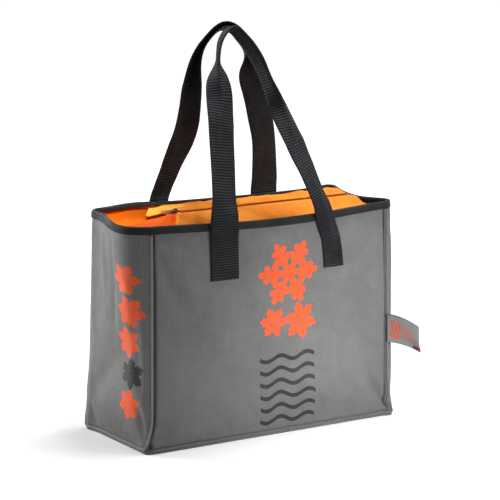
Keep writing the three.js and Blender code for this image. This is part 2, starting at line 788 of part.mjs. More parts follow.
// How a cut end of the section is split into triangles, and which of its outline edges are on the inner face
const sectionCaps = [
  [0, 1, 4], [0, 4, 5], [1, 2, 3], [1, 3, 4],
  [9, 0, 5], [9, 5, 6], [8, 9, 6], [8, 6, 7]
];
const sectionInnerEdges = [3, 4, 5, 6];

// One loop: each stop of the route is the x of the webbing's middle, its height above the rim, how far the
// webbing is turned about its own line and how far its fold is closed, from the left sewn end over the top to
// the right one; the crest is how far from the middle of the bag its top stands
function handleLoop(side, { left, right, crest, route }) {
  const sign = side === 'front' ? -1 : 1;
  const alongX = side === 'front' ? 1 : -1;
  const toRim = freeFrom - rimHeight;
  const stops = [[left.foot + left.lean, toRim, 0, 0], ...route, [right.foot + right.lean, toRim, 0, 0]];
  const stations = stops.map(([x, rise]) => new THREE.Vector3(x, 0, rimHeight + rise));
  const shapes = stops.map(([, , turn, closing]) => new THREE.Vector3(degToRad(turn), closing, 0));
  const curve = new THREE.CatmullRomCurve3(stations, false, 'centripetal');
  const shapeCurve = new THREE.CatmullRomCurve3(shapes, false, 'catmullrom');
  const top = Math.max(...stations.map(({ z }) => z));
  const bindingFoot = rimHeight - bindingOuterLeg;
  const faceOf = (x, z, lift) => {
    const step = smoothstep(z, bindingFoot - 16, bindingFoot - 4);
    const over = lerp(strapFace, bindingOut + patchGap, step);
    return offsetPoint(side, alongX * x, z, over + webbing / 2 + lift);
  };
  // Closer stations over the first and last three spans, where the webbing follows the panel
  const runs = [];
  for (let k = 0; k <= loopSpans; k += 1) {
    runs.push(k / loopSpans);
    const nearEnd = k < 3 || k > loopSpans - 4;
    if (nearEnd && k < loopSpans) {
      runs.push((k + 0.5) / loopSpans);
    }
  }
  const samples = runs.length - 1;
  const frames = [];
  for (const run of runs) {
    const t = curve.getUtoTmapping(run);
    const { x, z } = curve.getPoint(t);
    const shape = shapeCurve.getPoint(t);
    const turn = shape.x * smoothstep(z, turnStart, turnEnd);
    const share = THREE.MathUtils.smootherstep(run, 0.35, 0.65);
    const sewn = lerp(left.width, right.width, share);
    const width = lerp(sewn, webbingWidth, smoothstep(z, rimClear, gatherEnd));
    const climb = clamp((z - rimClear) / (top - rimClear), 0, 1);
    const lift = (width / 2) * Math.abs(Math.sin(turn)) * (1 - climb);
    const onWall = faceOf(x, Math.min(z, rimClear), lift);
    const centre = new THREE.Vector3(x, lerp(onWall.y, sign * crest, climb), z);
    frames.push({ centre, turn, width, fold: gripFold * clamp(shape.y, 0, 1), down: run > 0.5 });
  }
  const sections = frames.map(({ centre, turn, width, fold, down }, k) => {
    const before = frames[Math.max(k - 1, 0)].centre;
    const after = frames[Math.min(k + 1, samples)].centre;
    const tangent = after.clone().sub(before).normalize();
    if (k === 0 || k === samples) {
      tangent.set(0, 0, down ? -1 : 1).lerp(tangent, 0.5).normalize();
    }
    const wallNormal = shellNormal(side, alongX * centre.x, Math.min(centre.z, rimHeight));
    const free = smoothstep(centre.z, rimHeight, turnEnd);
    const outward = new THREE.Vector3(wallNormal[0] * (1 - free), lerp(wallNormal[1], sign, free), 0);
    outward.addScaledVector(tangent, -outward.dot(tangent)).normalize();
    outward.applyAxisAngle(tangent, turn);
    const across = new THREE.Vector3().crossVectors(tangent, outward).normalize();
    const section = webbingSection(width, fold);
    return section.map(([u, v]) => centre.clone().addScaledVector(across, u).addScaledVector(outward, -v));
  });
  return loftSolid(sections, sectionCaps, sectionInnerEdges);
}

// Feet are the x of a sewn end's lower middle and leans its shift up to its top edge
const freeFrom = patchTop + clearance;
const handles = {
  front: {
    left: { foot: -76, lean: -2, width: webbingWidth },
    right: { foot: 92, lean: -9, width: gatheredWidth },
    crest: 21,
    route: [
      [-80.6, 12, 10, 0], [-75, 65, 10, 0], [-69, 117, 5, 0], [-62.6, 148.5, -6, 0.28],
      [-62.9, 172, -22, 0.54], [-60.4, 196, -32, 0.97], [-48.4, 223, -27, 1], [-28.3, 235.6, -18, 1],
      [-9.3, 220, -11, 0.9],
      [5.3, 197, -4, 0.82], [15, 169.5, -3, 0.9], [28, 138.7, -11, 0.55], [35.4, 88.5, -24, 0],
      [47.7, 53, -29, 0], [65.8, 10, -23, 0]
    ]
  },
  back: {
    left: { foot: -96, lean: 6, width: gatheredWidth },
    right: { foot: 76, lean: -1, width: webbingWidth },
    crest: 21,
    route: [
      [-77.5, 20, 10, 0], [-68.9, 45, 14, 0], [-59.7, 82.5, 7, 0.1], [-60.4, 128.5, -6, 0.48],
      [-58.2, 157.8, -21, 0.62], [-54.2, 188.7, -33, 0.82], [-45, 208, -38, 0.94], [-27, 226.5, -31, 0.96],
      [-11, 224, -18, 0.96], [3, 212.5, -4, 0.94], [16.8, 197.5, 8, 0.76], [27, 169.6, 8, 0.3],
      [41.9, 143.8, 1, 0], [55.1, 107.7, -4, 0], [65.6, 76.2, -8, 0], [72.4, 39, -4, 0], [75.5, 7.5, 1, 0]
    ]
  }
};

for (const [side, handle] of Object.entries(handles)) {
  const alongX = side === 'front' ? 1 : -1;
  addPart(`${side}_handle_loop`, handleLoop(side, handle), 'webbing');
  for (const place of ['left', 'right']) {
    const { foot, lean, width } = handle[place];
    addPart(`${side}_handle_${place}_end`, sewnEnd(side, alongX * foot, alongX * lean, width), 'webbing');
  }
}

// Side tape loop: a hairpin of tape caught in the right front seam, drooping towards its fold
function tapeLoop() {
  const inner = sideTapeSlot / 2;
  const outer = inner + sideTape;
  const middle = sideTapeLength / 2;
  const bend = sideTapeLength - outer;
  const outline = new THREE.Shape();
  outline.moveTo(0, -outer);
  outline.lineTo(middle, -outer);
  outline.lineTo(bend, -outer);
  outline.absarc(bend, 0, outer, -Math.PI / 2, Math.PI / 2, false);
  outline.lineTo(middle, outer);
  outline.lineTo(0, outer);
  outline.lineTo(0, inner);
  outline.lineTo(middle, inner);
  outline.lineTo(bend, inner);
  outline.absarc(bend, 0, inner, Math.PI / 2, -Math.PI / 2, true);
  outline.lineTo(middle, -inner);
  outline.lineTo(0, -inner);
  const tape = extrudeShape(outline, sideTapeWidth, 5);
  const position = tape.getAttribute('position');
  const away = new THREE.Vector2(Math.cos(sideTapeAngle), Math.sin(sideTapeAngle));
  const heel = outer * away.x;
  for (let i = 0; i < position.count; i += 1) {
    const x = position.getX(i);
    const y = position.getY(i);
    const z = sideTapeTop - position.getZ(i);
    const seam = offsetPoint('front', sideSpan('front', z).half, z, fabric + seamRidge + clearance + heel);
    const droop = sideTapeDroop * (x / sideTapeLength) ** 2;
    const tapeX = seam.x + x * away.x + y * away.y;
    const tapeY = seam.y + x * away.y - y * away.x;
    position.setXYZ(i, tapeX, tapeY, z - droop);
  }
  return tape;
}

addPart('side_tape_loop', tapeLoop(), 'label');

export default part;
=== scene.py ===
# %% [markdown]
# # A soft cooler bag
# An insulated tote stands on its base with both handles up. The solids come in first as a fixed frame that says
# where every piece is and how it moves, and the cloth, tapes and print are then modelled around that frame.

# %% Load the frame
import functools
import itertools
import math

import bmesh
import bpy
from mathutils import Matrix, Vector, noise


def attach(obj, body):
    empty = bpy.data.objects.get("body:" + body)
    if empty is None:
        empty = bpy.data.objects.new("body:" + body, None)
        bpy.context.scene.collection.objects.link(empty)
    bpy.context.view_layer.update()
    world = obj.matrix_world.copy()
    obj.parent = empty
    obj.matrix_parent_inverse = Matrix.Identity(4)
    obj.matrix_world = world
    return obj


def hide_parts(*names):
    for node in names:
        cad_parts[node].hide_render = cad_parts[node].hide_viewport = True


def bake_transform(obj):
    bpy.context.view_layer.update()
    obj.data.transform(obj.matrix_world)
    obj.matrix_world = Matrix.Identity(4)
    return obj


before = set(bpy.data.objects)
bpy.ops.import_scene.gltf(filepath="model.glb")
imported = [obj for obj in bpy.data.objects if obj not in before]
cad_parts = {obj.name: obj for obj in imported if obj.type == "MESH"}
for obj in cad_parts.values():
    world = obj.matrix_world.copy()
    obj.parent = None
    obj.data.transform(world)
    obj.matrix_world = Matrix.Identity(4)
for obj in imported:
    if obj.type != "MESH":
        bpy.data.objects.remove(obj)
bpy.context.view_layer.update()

# %% [markdown]
# ## Camera
# The bag was seen from its left front corner, a little above the rim, with a long lens. Three angles and a
# distance describe such a camera better than a free position, because each can be tried on its own.

# %% Camera
azimuth, elevation, roll = (math.radians(a) for a in (-33.468, 11.527, 0.664))
aside_by, raised_by, distance = 0.01182, 0.22596, 3.17134
away = Vector((
    math.sin(azimuth) * math.cos(elevation),
    -math.cos(azimuth) * math.cos(elevation),
    math.sin(elevation),
))
level = Vector((math.cos(azimuth), math.sin(azimuth), 0))
raised = away.cross(level)
camera_right = level * math.cos(roll) + raised * math.sin(roll)
camera_up = raised * math.cos(roll) - level * math.sin(roll)
camera_data = bpy.data.cameras.new("photo_camera")
camera_data.sensor_width = 36
camera_data.lens = 172.8
camera = bpy.data.objects.new("photo_camera", camera_data)
bpy.context.scene.collection.objects.link(camera)
place = camera_right * aside_by + camera_up * raised_by + away * distance
camera.matrix_world = Matrix.Translation(place) @ Matrix((camera_right, camera_up, away)).transposed().to_4x4()
bpy.context.scene.camera = camera
print("camera at", [round(v, 3) for v in place])

# %% [markdown]
# ## Node helpers
# Light, floor and finishes are small trees of shader nodes. One helper adds a node and connects what it is given.
# A value that a node gives takes part in sums as a number would, and each sum adds a maths node.

# %% Node helpers
def connect(value, socket):
    """Links a value that comes from another node to a socket, or sets a plain one on it."""
    if isinstance(value, Value):
        socket.id_data.links.new(value.socket, socket)
    elif value is not None:
        socket.default_value = value


def add(tree, kind, *values, **settings):
    node = tree.nodes.new(kind)
    for key, value in settings.items():
        setattr(node, key, value)
    for socket, value in zip(node.inputs, values):
        connect(value, socket)
    return node


def give(tree, kind, *values, pick=0, **settings):
    """Adds a node and gives one of its outputs, by number or name."""
    return Value(add(tree, kind, *values, **settings).outputs[pick])


def maths(tree, operation, *values):
    return give(tree, "ShaderNodeMath", *values, operation=operation)


class Value:
    """What an output of a node gives."""

    def __init__(self, socket):
        self.socket = socket

    def to(self, operation, *others):
        return maths(self.socket.id_data, operation, self, *others)

    def ramp(self, low, high, to_low=0.0, to_high=1.0):
        return give(self.socket.id_data, "ShaderNodeMapRange", self, low, high, to_low, to_high)

    def __rsub__(self, other):
        return maths(self.socket.id_data, "SUBTRACT", other, self)

    def __rtruediv__(self, other):
        return maths(self.socket.id_data, "DIVIDE", other, self)

    __add__ = functools.partialmethod(to, "ADD")
    __sub__ = functools.partialmethod(to, "SUBTRACT")
    __mul__ = functools.partialmethod(to, "MULTIPLY")
    __truediv__ = functools.partialmethod(to, "DIVIDE")
    __gt__ = functools.partialmethod(to, "GREATER_THAN")
    __lt__ = functools.partialmethod(to, "LESS_THAN")


def split(tree, vector):
    """The first two coordinates of a vector."""
    node = add(tree, "ShaderNodeSeparateXYZ", vector)
    return Value(node.outputs["X"]), Value(node.outputs["Y"])


def new_material(name):
    material = bpy.data.materials.new(name)
    material.use_nodes = True
    return material, material.node_tree, material.node_tree.nodes["Principled BSDF"]


def finish(node, **values):
    """Connects named sockets; a space in a socket's name is written as _."""
    for key, value in values.items():
        connect(value, node.inputs[key.replace("_", " ")])


print("node helpers ready")

# %% [markdown]
# ## Light and floor
# A studio table is pale, so the floor is one plain paper colour, and whatever is darker on it is the bag's own
# shadow. A broad window stands behind the left end, so that the light dies away where the end turns round the
# corner, and a small gridded one stands near the right of the front, so that the front grows darker to the left.
# A wide lamp hangs above, and a weak narrow one looks into the mouth, where the lining would be too dark. All stand
# over a weak even surround. Rays from the camera and from reflections see a white surround at strength 1. The floor
# glows a little for the camera alone, more from 0.45 m outwards, so that the far floor ends in that white.

# %% World and lamps
WHITE = (1, 1, 1, 1)
world = bpy.data.worlds.new("studio")
bpy.context.scene.world = world
world.use_nodes = True
tree = world.node_tree
tree.nodes.clear()
path = add(tree, "ShaderNodeLightPath").outputs
seen = Value(path["Is Camera Ray"])
for kind in ("Is Glossy Ray", "Is Transmission Ray"):
    seen = seen.to("MAXIMUM", Value(path[kind]))
lighting = give(tree, "ShaderNodeBackground", WHITE, 0.07)
backdrop = give(tree, "ShaderNodeBackground", WHITE, 1.0)
add(tree, "ShaderNodeOutputWorld", give(tree, "ShaderNodeMixShader", seen, lighting, backdrop))
bpy.context.scene.view_settings.view_transform = "Standard"


def soft_box(name, position, target, size, power, fan=180):
    data = bpy.data.lights.new(name, "AREA")
    data.shape = "RECTANGLE"
    data.size, data.size_y = size
    data.energy = power
    data.spread = math.radians(fan)
    lamp = bpy.data.objects.new(name, data)
    bpy.context.scene.collection.objects.link(lamp)
    lamp.location = position
    lamp.rotation_euler = (Vector(target) - Vector(position)).to_track_quat("-Z", "Y").to_euler()
    lamp.visible_camera = False


soft_box("window_left", (-1.15, 1.45, 0.75), (-0.19, 0, 0.2), (0.7, 1.2), 38)
soft_box("window_right", (0.27, -0.85, 0.34), (0.095, -0.08, 0.135), (0.25, 0.30), 0.40, fan=33)
soft_box("ceiling", (0.45, -0.15, 2.0), (-0.05, 0, 0.25), (1.0, 1.0), 40)
soft_box("mouth", (-0.10, -0.40, 1.5), (-0.15, 0.09, 0.27), (0.08, 0.08), 0.11, fan=9)

# %% Floor
floor_mesh = bmesh.new()
bmesh.ops.create_grid(floor_mesh, x_segments=1, y_segments=1, size=12)
floor_data = bpy.data.meshes.new("floor")
floor_mesh.to_mesh(floor_data)
floor_mesh.free()
floor = bpy.data.objects.new("floor", floor_data)
bpy.context.scene.collection.objects.link(floor)
paper, tree, shader = new_material("floor_paper")
where = give(tree, "ShaderNodeTexCoord", pick="Object")
from_bag = give(tree, "ShaderNodeVectorMath", where, pick="Value", operation="LENGTH")
camera_ray = give(tree, "ShaderNodeLightPath", pick="Is Camera Ray")
finish(
    shader, Base_Color=(0.78, 0.78, 0.78, 1), Roughness=0.9, Specular_IOR_Level=0.1,
    Emission_Color=WHITE, Emission_Strength=camera_ray * from_bag.ramp(0.45, 1.3, 0.28, 0.95),
)
from_below = give(tree, "ShaderNodeNewGeometry", pick="Backfacing")
clear = give(tree, "ShaderNodeBsdfTransparent")
one_sided = give(tree, "ShaderNodeMixShader", from_below, Value(shader.outputs[0]), clear)
finish(tree.nodes["Material Output"], Surface=one_sided)
floor_data.materials.append(paper)
print("floor:", paper.name)

# %% [markdown]
# ## Finishes
# Every finish starts from a few effects: a plain weave, a cloudy unevenness, cross ribs and some print motifs.
# Each effect is a node group with named values, built once, so that the same weave can be coarse on the outer
# cloth and fine on the lining.

# %% Group helpers
def group(name, inputs, outputs):
    """A new node group with the values of its inputs and the sockets of its outputs; an input of None is a vector."""
    tree = bpy.data.node_groups.new(name, "ShaderNodeTree")
    for key, value in inputs.items():
        kind = "NodeSocketVector" if value is None else "NodeSocketFloat"
        socket = tree.interface.new_socket(key.replace("_", " "), in_out="INPUT", socket_type=kind)
        if value is not None:
            socket.default_value = value
    for label in outputs:
        tree.interface.new_socket(label, in_out="OUTPUT", socket_type="NodeSocketFloat")
    entry = tree.nodes.new("NodeGroupInput").outputs
    return tree, {key: Value(entry[key.replace("_", " ")]) for key in inputs}, tree.nodes.new("NodeGroupOutput")


def use(tree, name, **values):
    """Places a group in a material with its own values."""
    node = tree.nodes.new("ShaderNodeGroup")
    node.node_tree = bpy.data.node_groups[name]
    finish(node, **values)
    return {socket.name: Value(socket) for socket in node.outputs}


print("group helpers ready")

# %% Plain weave
tree, given, result = group("plain_weave", dict(Vector=None, Pitch=0.001), ["Height", "Shade"])
x, y = split(tree, given["Vector"])
turns = math.pi / given["Pitch"]
threads = (x * turns).to("SINE") * (y * turns).to("SINE")
fibres = give(tree, "ShaderNodeTexNoise", given["Vector"], None, 900.0, 2.0)
finish(result, Height=threads.to("ABSOLUTE"), Shade=fibres)
print("group:", tree.name)

# %% Cross ribs of a webbing or tape
tree, given, result = group("cross_ribs", dict(Vector=None, Pitch=0.0034, Lanes=0.004), ["Height"])
x, y = split(tree, given["Vector"])
along = y + x.to("PINGPONG", given["Lanes"]) * 0.10
rib = (along * (math.pi / given["Pitch"])).to("SINE").to("ABSOLUTE")
finish(result, Height=rib.to("POWER", 1.3))
print("group:", tree.name)

# %% Cloudy unevenness: handling marks and soft folds
tree, given, result = group("cloudy", dict(Vector=None, Scale=6.0), ["Value"])
cloud = give(tree, "ShaderNodeTexNoise", given["Vector"], None, given["Scale"], 4.0)
finish(result, Value=cloud.ramp(0.3, 0.7))
print("group:", tree.name)


def cloudy(vector, scale):
    return use(vector.socket.id_data, "cloudy", Vector=vector, Scale=scale)["Value"]


# %% [markdown]
# The print shows what the bag is for with plain frost motifs. A six-armed crystal is one stroke drawn in a
# thirty degree wedge that is folded round six times, so the whole motif costs a few sums. The dark part of the
# front print is a field of level waves.

# %% Frost crystal motif
INK_EDGE = 0.00012
sizes = dict(Vector=None, Centre_X=0.0, Centre_Y=0.0, Reach=0.04, Stroke=0.003, Turn=0.0)
tree, given, result = group("crystal", sizes, ["Mask"])
x, y = split(tree, given["Vector"])
x, y = x - given["Centre_X"], y - given["Centre_Y"]
radius = (x * x + y * y).to("SQRT")
angle = y.to("ARCTAN2", x) + given["Turn"]
wedge = (angle + 4 * math.pi).to("PINGPONG", math.pi / 6)
px, py = radius * wedge.to("COSINE"), radius * wedge.to("SINE")


def stroke(start_share, length_share, lean=0.0):
    """Mask of a straight stroke that leaves the arm at a share of its reach."""
    from_start = px - given["Reach"] * start_share
    run = from_start * math.cos(lean) + py * math.sin(lean)
    off = from_start * math.sin(lean) - py * math.cos(lean)
    outside = (run - given["Reach"] * length_share).to("MAXIMUM", run * -1.0).to("MAXIMUM", 0.0)
    distance = (off * off + outside * outside).to("SQRT")
    return (given["Stroke"] * 0.5 - distance).ramp(-INK_EDGE, INK_EDGE)


arms = stroke(0.0, 1.0)
for start_share, length_share in ((0.42, 0.26), (0.7, 0.22)):
    arms = arms.to("MAXIMUM", stroke(start_share, length_share, math.radians(60)))
finish(result, Mask=arms)
print("group:", tree.name)

# %% Level waves motif
sizes = dict(
    Vector=None, Left=0.0, Right=0.08, Low=0.0, High=0.1,
    Pitch=0.012, Stroke=0.004, Swing=0.003, Length=0.04,
)
tree, given, result = group("waves", sizes, ["Mask"])
x, y = split(tree, given["Vector"])
phase = x * (2 * math.pi) / given["Length"]
lifted = y - phase.to("SINE") * given["Swing"]
from_low = lifted - given["Low"]
half_pitch = given["Pitch"] / 2.0
line = from_low.to("PINGPONG", half_pitch) - (half_pitch - given["Stroke"] / 2.0)
inside = (x > given["Left"]) * (x < given["Right"])
level = (from_low > 0.0) * (lifted < given["High"])
finish(result, Mask=line.ramp(-INK_EDGE, INK_EDGE) * (inside * level))
print("group:", tree.name)

# %% [markdown]
# ## Outer cloth with its print
# The shell is a grey coated weave. One material would do for the whole bag, but the front and the left end carry
# different prints, so a function builds the same cloth with a list of motifs. The motifs read the cloth's own
# UV map, which is in metres along the panel and up it, so the print lies on the cloth wherever it bulges.

# %% Surface helpers
def cloth_map(tree):
    return give(tree, "ShaderNodeUVMap", uv_map="cloth")


def speckle(tree, vector, scale, detail=3.0):
    return give(tree, "ShaderNodeTexNoise", vector, None, scale, detail)


def drawn(tree, name):
    """A measure that is stored on the cloth's own points."""
    return give(tree, "ShaderNodeAttribute", pick="Fac", attribute_name=name)


def tinted(tree, shade, colour):
    return give(tree, "ShaderNodeCombineXYZ", *[shade * part for part in colour])


def mixed(tree, share, one, other):
    node = add(tree, "ShaderNodeMix", data_type="RGBA")
    for index, value in ((0, share), (6, one), (7, other)):
        connect(value, node.inputs[index])
    return Value(node.outputs[2])


def bumps(tree, *layers):
    """A chain of bump nodes, from the coarsest height to the finest; a layer is height, distance and strength."""
    normal = None
    for height, distance, strength in layers:
        node = add(tree, "ShaderNodeBump")
        finish(node, Strength=strength, Distance=distance, Height=height, Normal=normal)
        normal = Value(node.outputs[0])
    return normal


print("surface helpers ready")

# %% Outer cloth
GREY = (0.165, 0.163, 0.161)
ORANGE = (0.86, 0.105, 0.022, 1)
CHARCOAL = (0.020, 0.020, 0.020, 1)


def outer_cloth(name, orange=(), dark=(), painted_highlight=1.0):
    material, tree, shader = new_material(name)
    cloth = cloth_map(tree)
    weave = use(tree, "plain_weave", Vector=cloth, Pitch=0.0017)
    shade = cloudy(cloth, 9.0).ramp(0, 1, 0.90, 1.10) * cloudy(cloth, 60.0).ramp(0, 1, 0.93, 1.07)
    shade *= weave["Shade"].ramp(0.3, 0.7, 0.74, 1.26)
    shade *= weave["Height"].ramp(0.0, 0.6, 0.72, 1.10)
    # Beside the seams, above the base and in the hole at the front left foot, the colour is darkened down to 3 per
    # cent. This is painted shade in those grooves, laid over their real drawn-in shape.
    shade *= drawn(tree, "sunk_and_painted_shade").ramp(0, 1, 1.0, 0.03)
    # The last argument makes the grey paler, as a painted highlight.
    printed = tinted(tree, shade, [part * painted_highlight for part in GREY])
    rough = 0.62
    for ink, motifs in ((ORANGE, orange), (CHARCOAL, dark)):
        if motifs:
            masks = [use(tree, kind, Vector=cloth, **values)["Mask"] for kind, values in motifs]
            mask = functools.reduce(lambda one, other: one.to("MAXIMUM", other), masks)
            printed = mixed(tree, mask * weave["Shade"].ramp(0.2, 0.5, 0.9, 1.0), printed, ink)
            rough = rough - mask * 0.12
    folds, crumple = speckle(tree, cloth, 13.0, 2.0), speckle(tree, cloth, 42.0)
    normal = bumps(tree, (folds, 0.010, 0.45), (crumple, 0.0026, 0.5), (weave["Height"], 0.0002, 0.5))
    finish(shader, Base_Color=printed, Roughness=rough, Specular_IOR_Level=0.3, Normal=normal)
    return material


def crystals(*motifs):
    names = ("Centre_X", "Centre_Y", "Reach", "Stroke", "Turn")
    return [("crystal", dict(zip(names, values))) for values in motifs]


plain_cloth = outer_cloth("outer_cloth")
# A copy of the cloth 1.6 times paler, as a painted highlight for the front left seam ridge.
seam_highlight_cloth = outer_cloth("outer_cloth_painted_highlight", painted_highlight=1.6)
front_cloth = outer_cloth(
    "outer_cloth_front",
    crystals(
        (0.019, 0.217, 0.042, 0.0086, 0.0),
        (0.041, 0.150, 0.0235, 0.0054, 0.26),
        (-0.002, 0.152, 0.0185, 0.0046, 0.1),
    ),
    [("waves", dict(
        Left=-0.021, Right=0.063, Low=0.012, High=0.112,
        Pitch=0.0165, Stroke=0.0055, Swing=0.0035, Length=0.042,
    ))],
)
column = crystals(*[(0.046 if k % 2 else 0.040, 0.2225 - 0.0407 * k, 0.0180, 0.0056, 0.2 * k) for k in range(5)])
end_cloth = outer_cloth("outer_cloth_end", column[:3] + column[4:], column[3:4])
print("cloths:", [m.name for m in bpy.data.materials if m.name.startswith("outer")])

# %% [markdown]
# ## Lining, tapes and webbing
# The lining is a thin bright coated cloth that shines through a little, so it gets a touch of subsurface light.
# The straps are heavy black webbing with ribs across, the binding is a fine black tape and the side loop is a
# printed satin tape.

# %% Lining and zip tape
def lining_cloth(name, colour, deep, rough=0.6):
    """A thin bright cloth; deep is its colour in random patches, and where painted fold shade is stored on its
    points.
    """
    material, tree, shader = new_material(name)
    cloth = cloth_map(tree)
    weave = use(tree, "plain_weave", Vector=cloth, Pitch=0.0009)
    # The deep colour comes in random patches, and as painted shade where a fold share is stored on the cloth's
    # points.
    depth = (cloudy(cloth, 14.0) * 0.3).to("MAXIMUM", drawn(tree, "painted_fold_shade"))
    normal = bumps(tree, (speckle(tree, cloth, 46.0), 0.0025, 0.5), (weave["Height"], 0.00015, 0.35))
    finish(
        shader, Base_Color=mixed(tree, depth, colour, deep), Roughness=rough, Specular_IOR_Level=0.0,
        Subsurface_Weight=0.3, Subsurface_Radius=(1.0, 0.3, 0.05), Subsurface_Scale=0.002, Normal=normal,
    )
    return material


lining = lining_cloth("lining_cloth", (0.92, 0.29, 0.040, 1), (0.62, 0.034, 0.006, 1))
# The walls and base inside get a redder copy of the same lining, as painted shade for the deep inside of the bag.
lining_painted_shade = lining_cloth("lining_cloth_inside_painted_shade", (0.95, 0.20, 0.010, 1), (0.88, 0.07, 0.006, 1))
zip_tape = lining_cloth("zip_tape_cloth", (0.72, 0.15, 0.012, 1), (0.55, 0.10, 0.01, 1), 0.8)
print("linings:", lining.name, lining_painted_shade.name, zip_tape.name)


# %% Ribbed tapes
def ribbed(name, colour, pitch, lanes, depth, rough, painted_sheen=None):
    """A black tape with ribs across; the last argument is a stretch of its length painted paler and mottled, as
    painted sheen where it faces the light.
    """
    material, tree, shader = new_material(name)
    cloth = cloth_map(tree)
    ribs = use(tree, "cross_ribs", Vector=cloth, Pitch=pitch, Lanes=lanes)["Height"]
    # The rib crests are painted up to three times lighter and the grooves darker, as painted highlight and painted
    # shade. The cloudy mottling over them is the tape's own uneven tone.
    painted_rib_light = ribs.ramp(0.45, 0.95, 0.25, 3.0) * cloudy(cloth, 30.0).ramp(0, 1, 0.6, 1.6)
    # A stretch near the left end of the binding is painted paler and mottled, as painted sheen where the tape faces
    # the window on the left.
    if painted_sheen:
        start, stop = painted_sheen
        along = split(tree, cloth)[1]
        stretch = along.ramp(start, start + 0.02, 0, 1) * along.ramp(stop, stop + 0.02, 1, 0)
        painted_rib_light = painted_rib_light + stretch * cloudy(cloth, 170.0).ramp(0.35, 0.65, 0.5, 4.5)
    finish(
        shader, Base_Color=tinted(tree, painted_rib_light, colour), Roughness=rough, Specular_IOR_Level=0.15,
        Normal=bumps(tree, (ribs, depth, 0.9)),
    )
    return material


webbing = ribbed("webbing", (0.0082, 0.0090, 0.0104), 0.0034, 0.0065, 0.0009, 0.65)
binding = ribbed("binding_tape", (0.012, 0.0122, 0.0128), 0.0012, 0.05, 0.00015, 0.7, painted_sheen=(0.885, 0.965))
print("ribbed:", webbing.name, binding.name)


# %% Foam, board, metal, teeth, thread
def plain(name, colour, rough, metallic=0.0, grain=900.0, depth=0.00003, shine=0.5):
    material, tree, shader = new_material(name)
    speck = speckle(tree, give(tree, "ShaderNodeTexCoord", pick="Object"), grain)
    finish(
        shader, Base_Color=tinted(tree, speck.ramp(0.3, 0.7, 0.85, 1.15), colour), Metallic=metallic,
        Roughness=speck.ramp(0.3, 0.7, rough - 0.08, rough + 0.08), Specular_IOR_Level=shine,
        Normal=bumps(tree, (speck, depth, 0.3)),
    )
    return material


foam = plain("closed_cell_foam", (0.78, 0.76, 0.70), 0.9, grain=700.0, depth=0.0003)
board = plain("stiffener_board", (0.05, 0.05, 0.05), 0.6, grain=400.0, depth=0.0001)
metal = plain("pale_metal", (0.30, 0.26, 0.20), 0.42, metallic=1.0)
moulded = plain("moulded_teeth", (0.20, 0.06, 0.014), 0.5, shine=0.1)
thread_black = plain("black_thread", (0.018, 0.018, 0.018), 0.7, grain=2500.0, depth=0.00005)
slider_metal = plain("dark_metal", (0.020, 0.018, 0.016), 0.45, metallic=0.6)
print("plain:", foam.name, board.name, metal.name, moulded.name)

# %% Side loop tape, printed with stripes and one crystal, its top and fold edges darkened as painted shade and one corner turned red
label, tree, shader = new_material("label_tape")
cloth = cloth_map(tree)
x, y = split(tree, cloth)
bars = (x + y * 0.25).to("PINGPONG", 0.0026).ramp(0.0011, 0.0013)
window = (x > 0.004) * (x < 0.019) * ((y > 0.006) * (y < 0.030))
frost = use(tree, "crystal", Vector=cloth, Centre_X=0.029, Centre_Y=0.019, Reach=0.0085, Stroke=0.0022, Turn=0.3)
ink = (bars * window).to("MAXIMUM", frost["Mask"] * 0.4)
weave = use(tree, "plain_weave", Vector=cloth, Pitch=0.0007)
# The top edge and the edge at the fold are darkened, as painted shade along the edges of the doubled tape.
painted_edge_shade = (y > 0.0369).to("MAXIMUM", x > 0.0437)
base = weave["Shade"].ramp(0.3, 0.7, 0.25, 0.34) * painted_edge_shade.ramp(0, 1, 1.0, 0.4)
printed = mixed(tree, ink, give(tree, "ShaderNodeCombineXYZ", base, base, base), ORANGE)
turned = mixed(tree, (x > 0.035) * (y < 0.0065), printed, (0.22, 0.012, 0.010, 1))
finish(shader, Base_Color=turned, Roughness=0.5, Normal=bumps(tree, (weave["Height"], 0.0001, 0.4)))
print("label tape:", label.name)

# %% [markdown]
# ## The shape of the shell
# Every wall piece follows one surface: a box with rounded corners whose mouth bulges. Writing that surface once,
# as a point for a side, a place along it and a height, keeps the cover, foam, lining and binding parallel.
# Sizes are in millimetres here and turn into metres when a point is made.

# %% Shell surface
RIM = 290.0
BASE, MOUTH = (380, 152), (374, 136)
FRONT_CENTRE, FRONT_BULGE, FRONT_SAG = 8, 12, 4
BACK_WAVE, LEFT_BULGE, RIGHT_BULGE, RIGHT_DIP = 5, 18, 10, 9
BULGE_START, CORNER_RISE = 120, 45
FABRIC, FOAM, LINING, GAP = 1.2, 4.0, 0.8, 0.3
FACING = {"front": -1, "back": 1}
SIDES = {
    "front": ((1, 0), (0, -1)),
    "right": ((0, 1), (1, 0)),
    "back": ((-1, 0), (0, 1)),
    "left": ((0, -1), (-1, 0)),
}


def clamp(x, low=0.0, high=1.0):
    return min(max(x, low), high)


def lerp(a, b, t):
    """The value at a share t of the way from a to b."""
    return a + (b - a) * t


def smooth(x, low, high):
    """0 up to low, 1 from high, and a soft step between them."""
    t = clamp((x - low) / (high - low))
    return t * t * (3 - 2 * t)


def bell(x, width):
    return math.exp(-((x / width) ** 2))


def plan(z):
    """Half width, half depth and corner radius at a height, and how much of the corner a long side takes."""
    v, rounding = z / RIM, smooth(z, 0, CORNER_RISE)
    return (
        lerp(BASE[0], MOUTH[0], v) / 2 - FABRIC,
        lerp(BASE[1], MOUTH[1], v) / 2 - FABRIC,
        lerp(7, 10, rounding),
        lerp(math.radians(45), math.radians(16), rounding),
    )


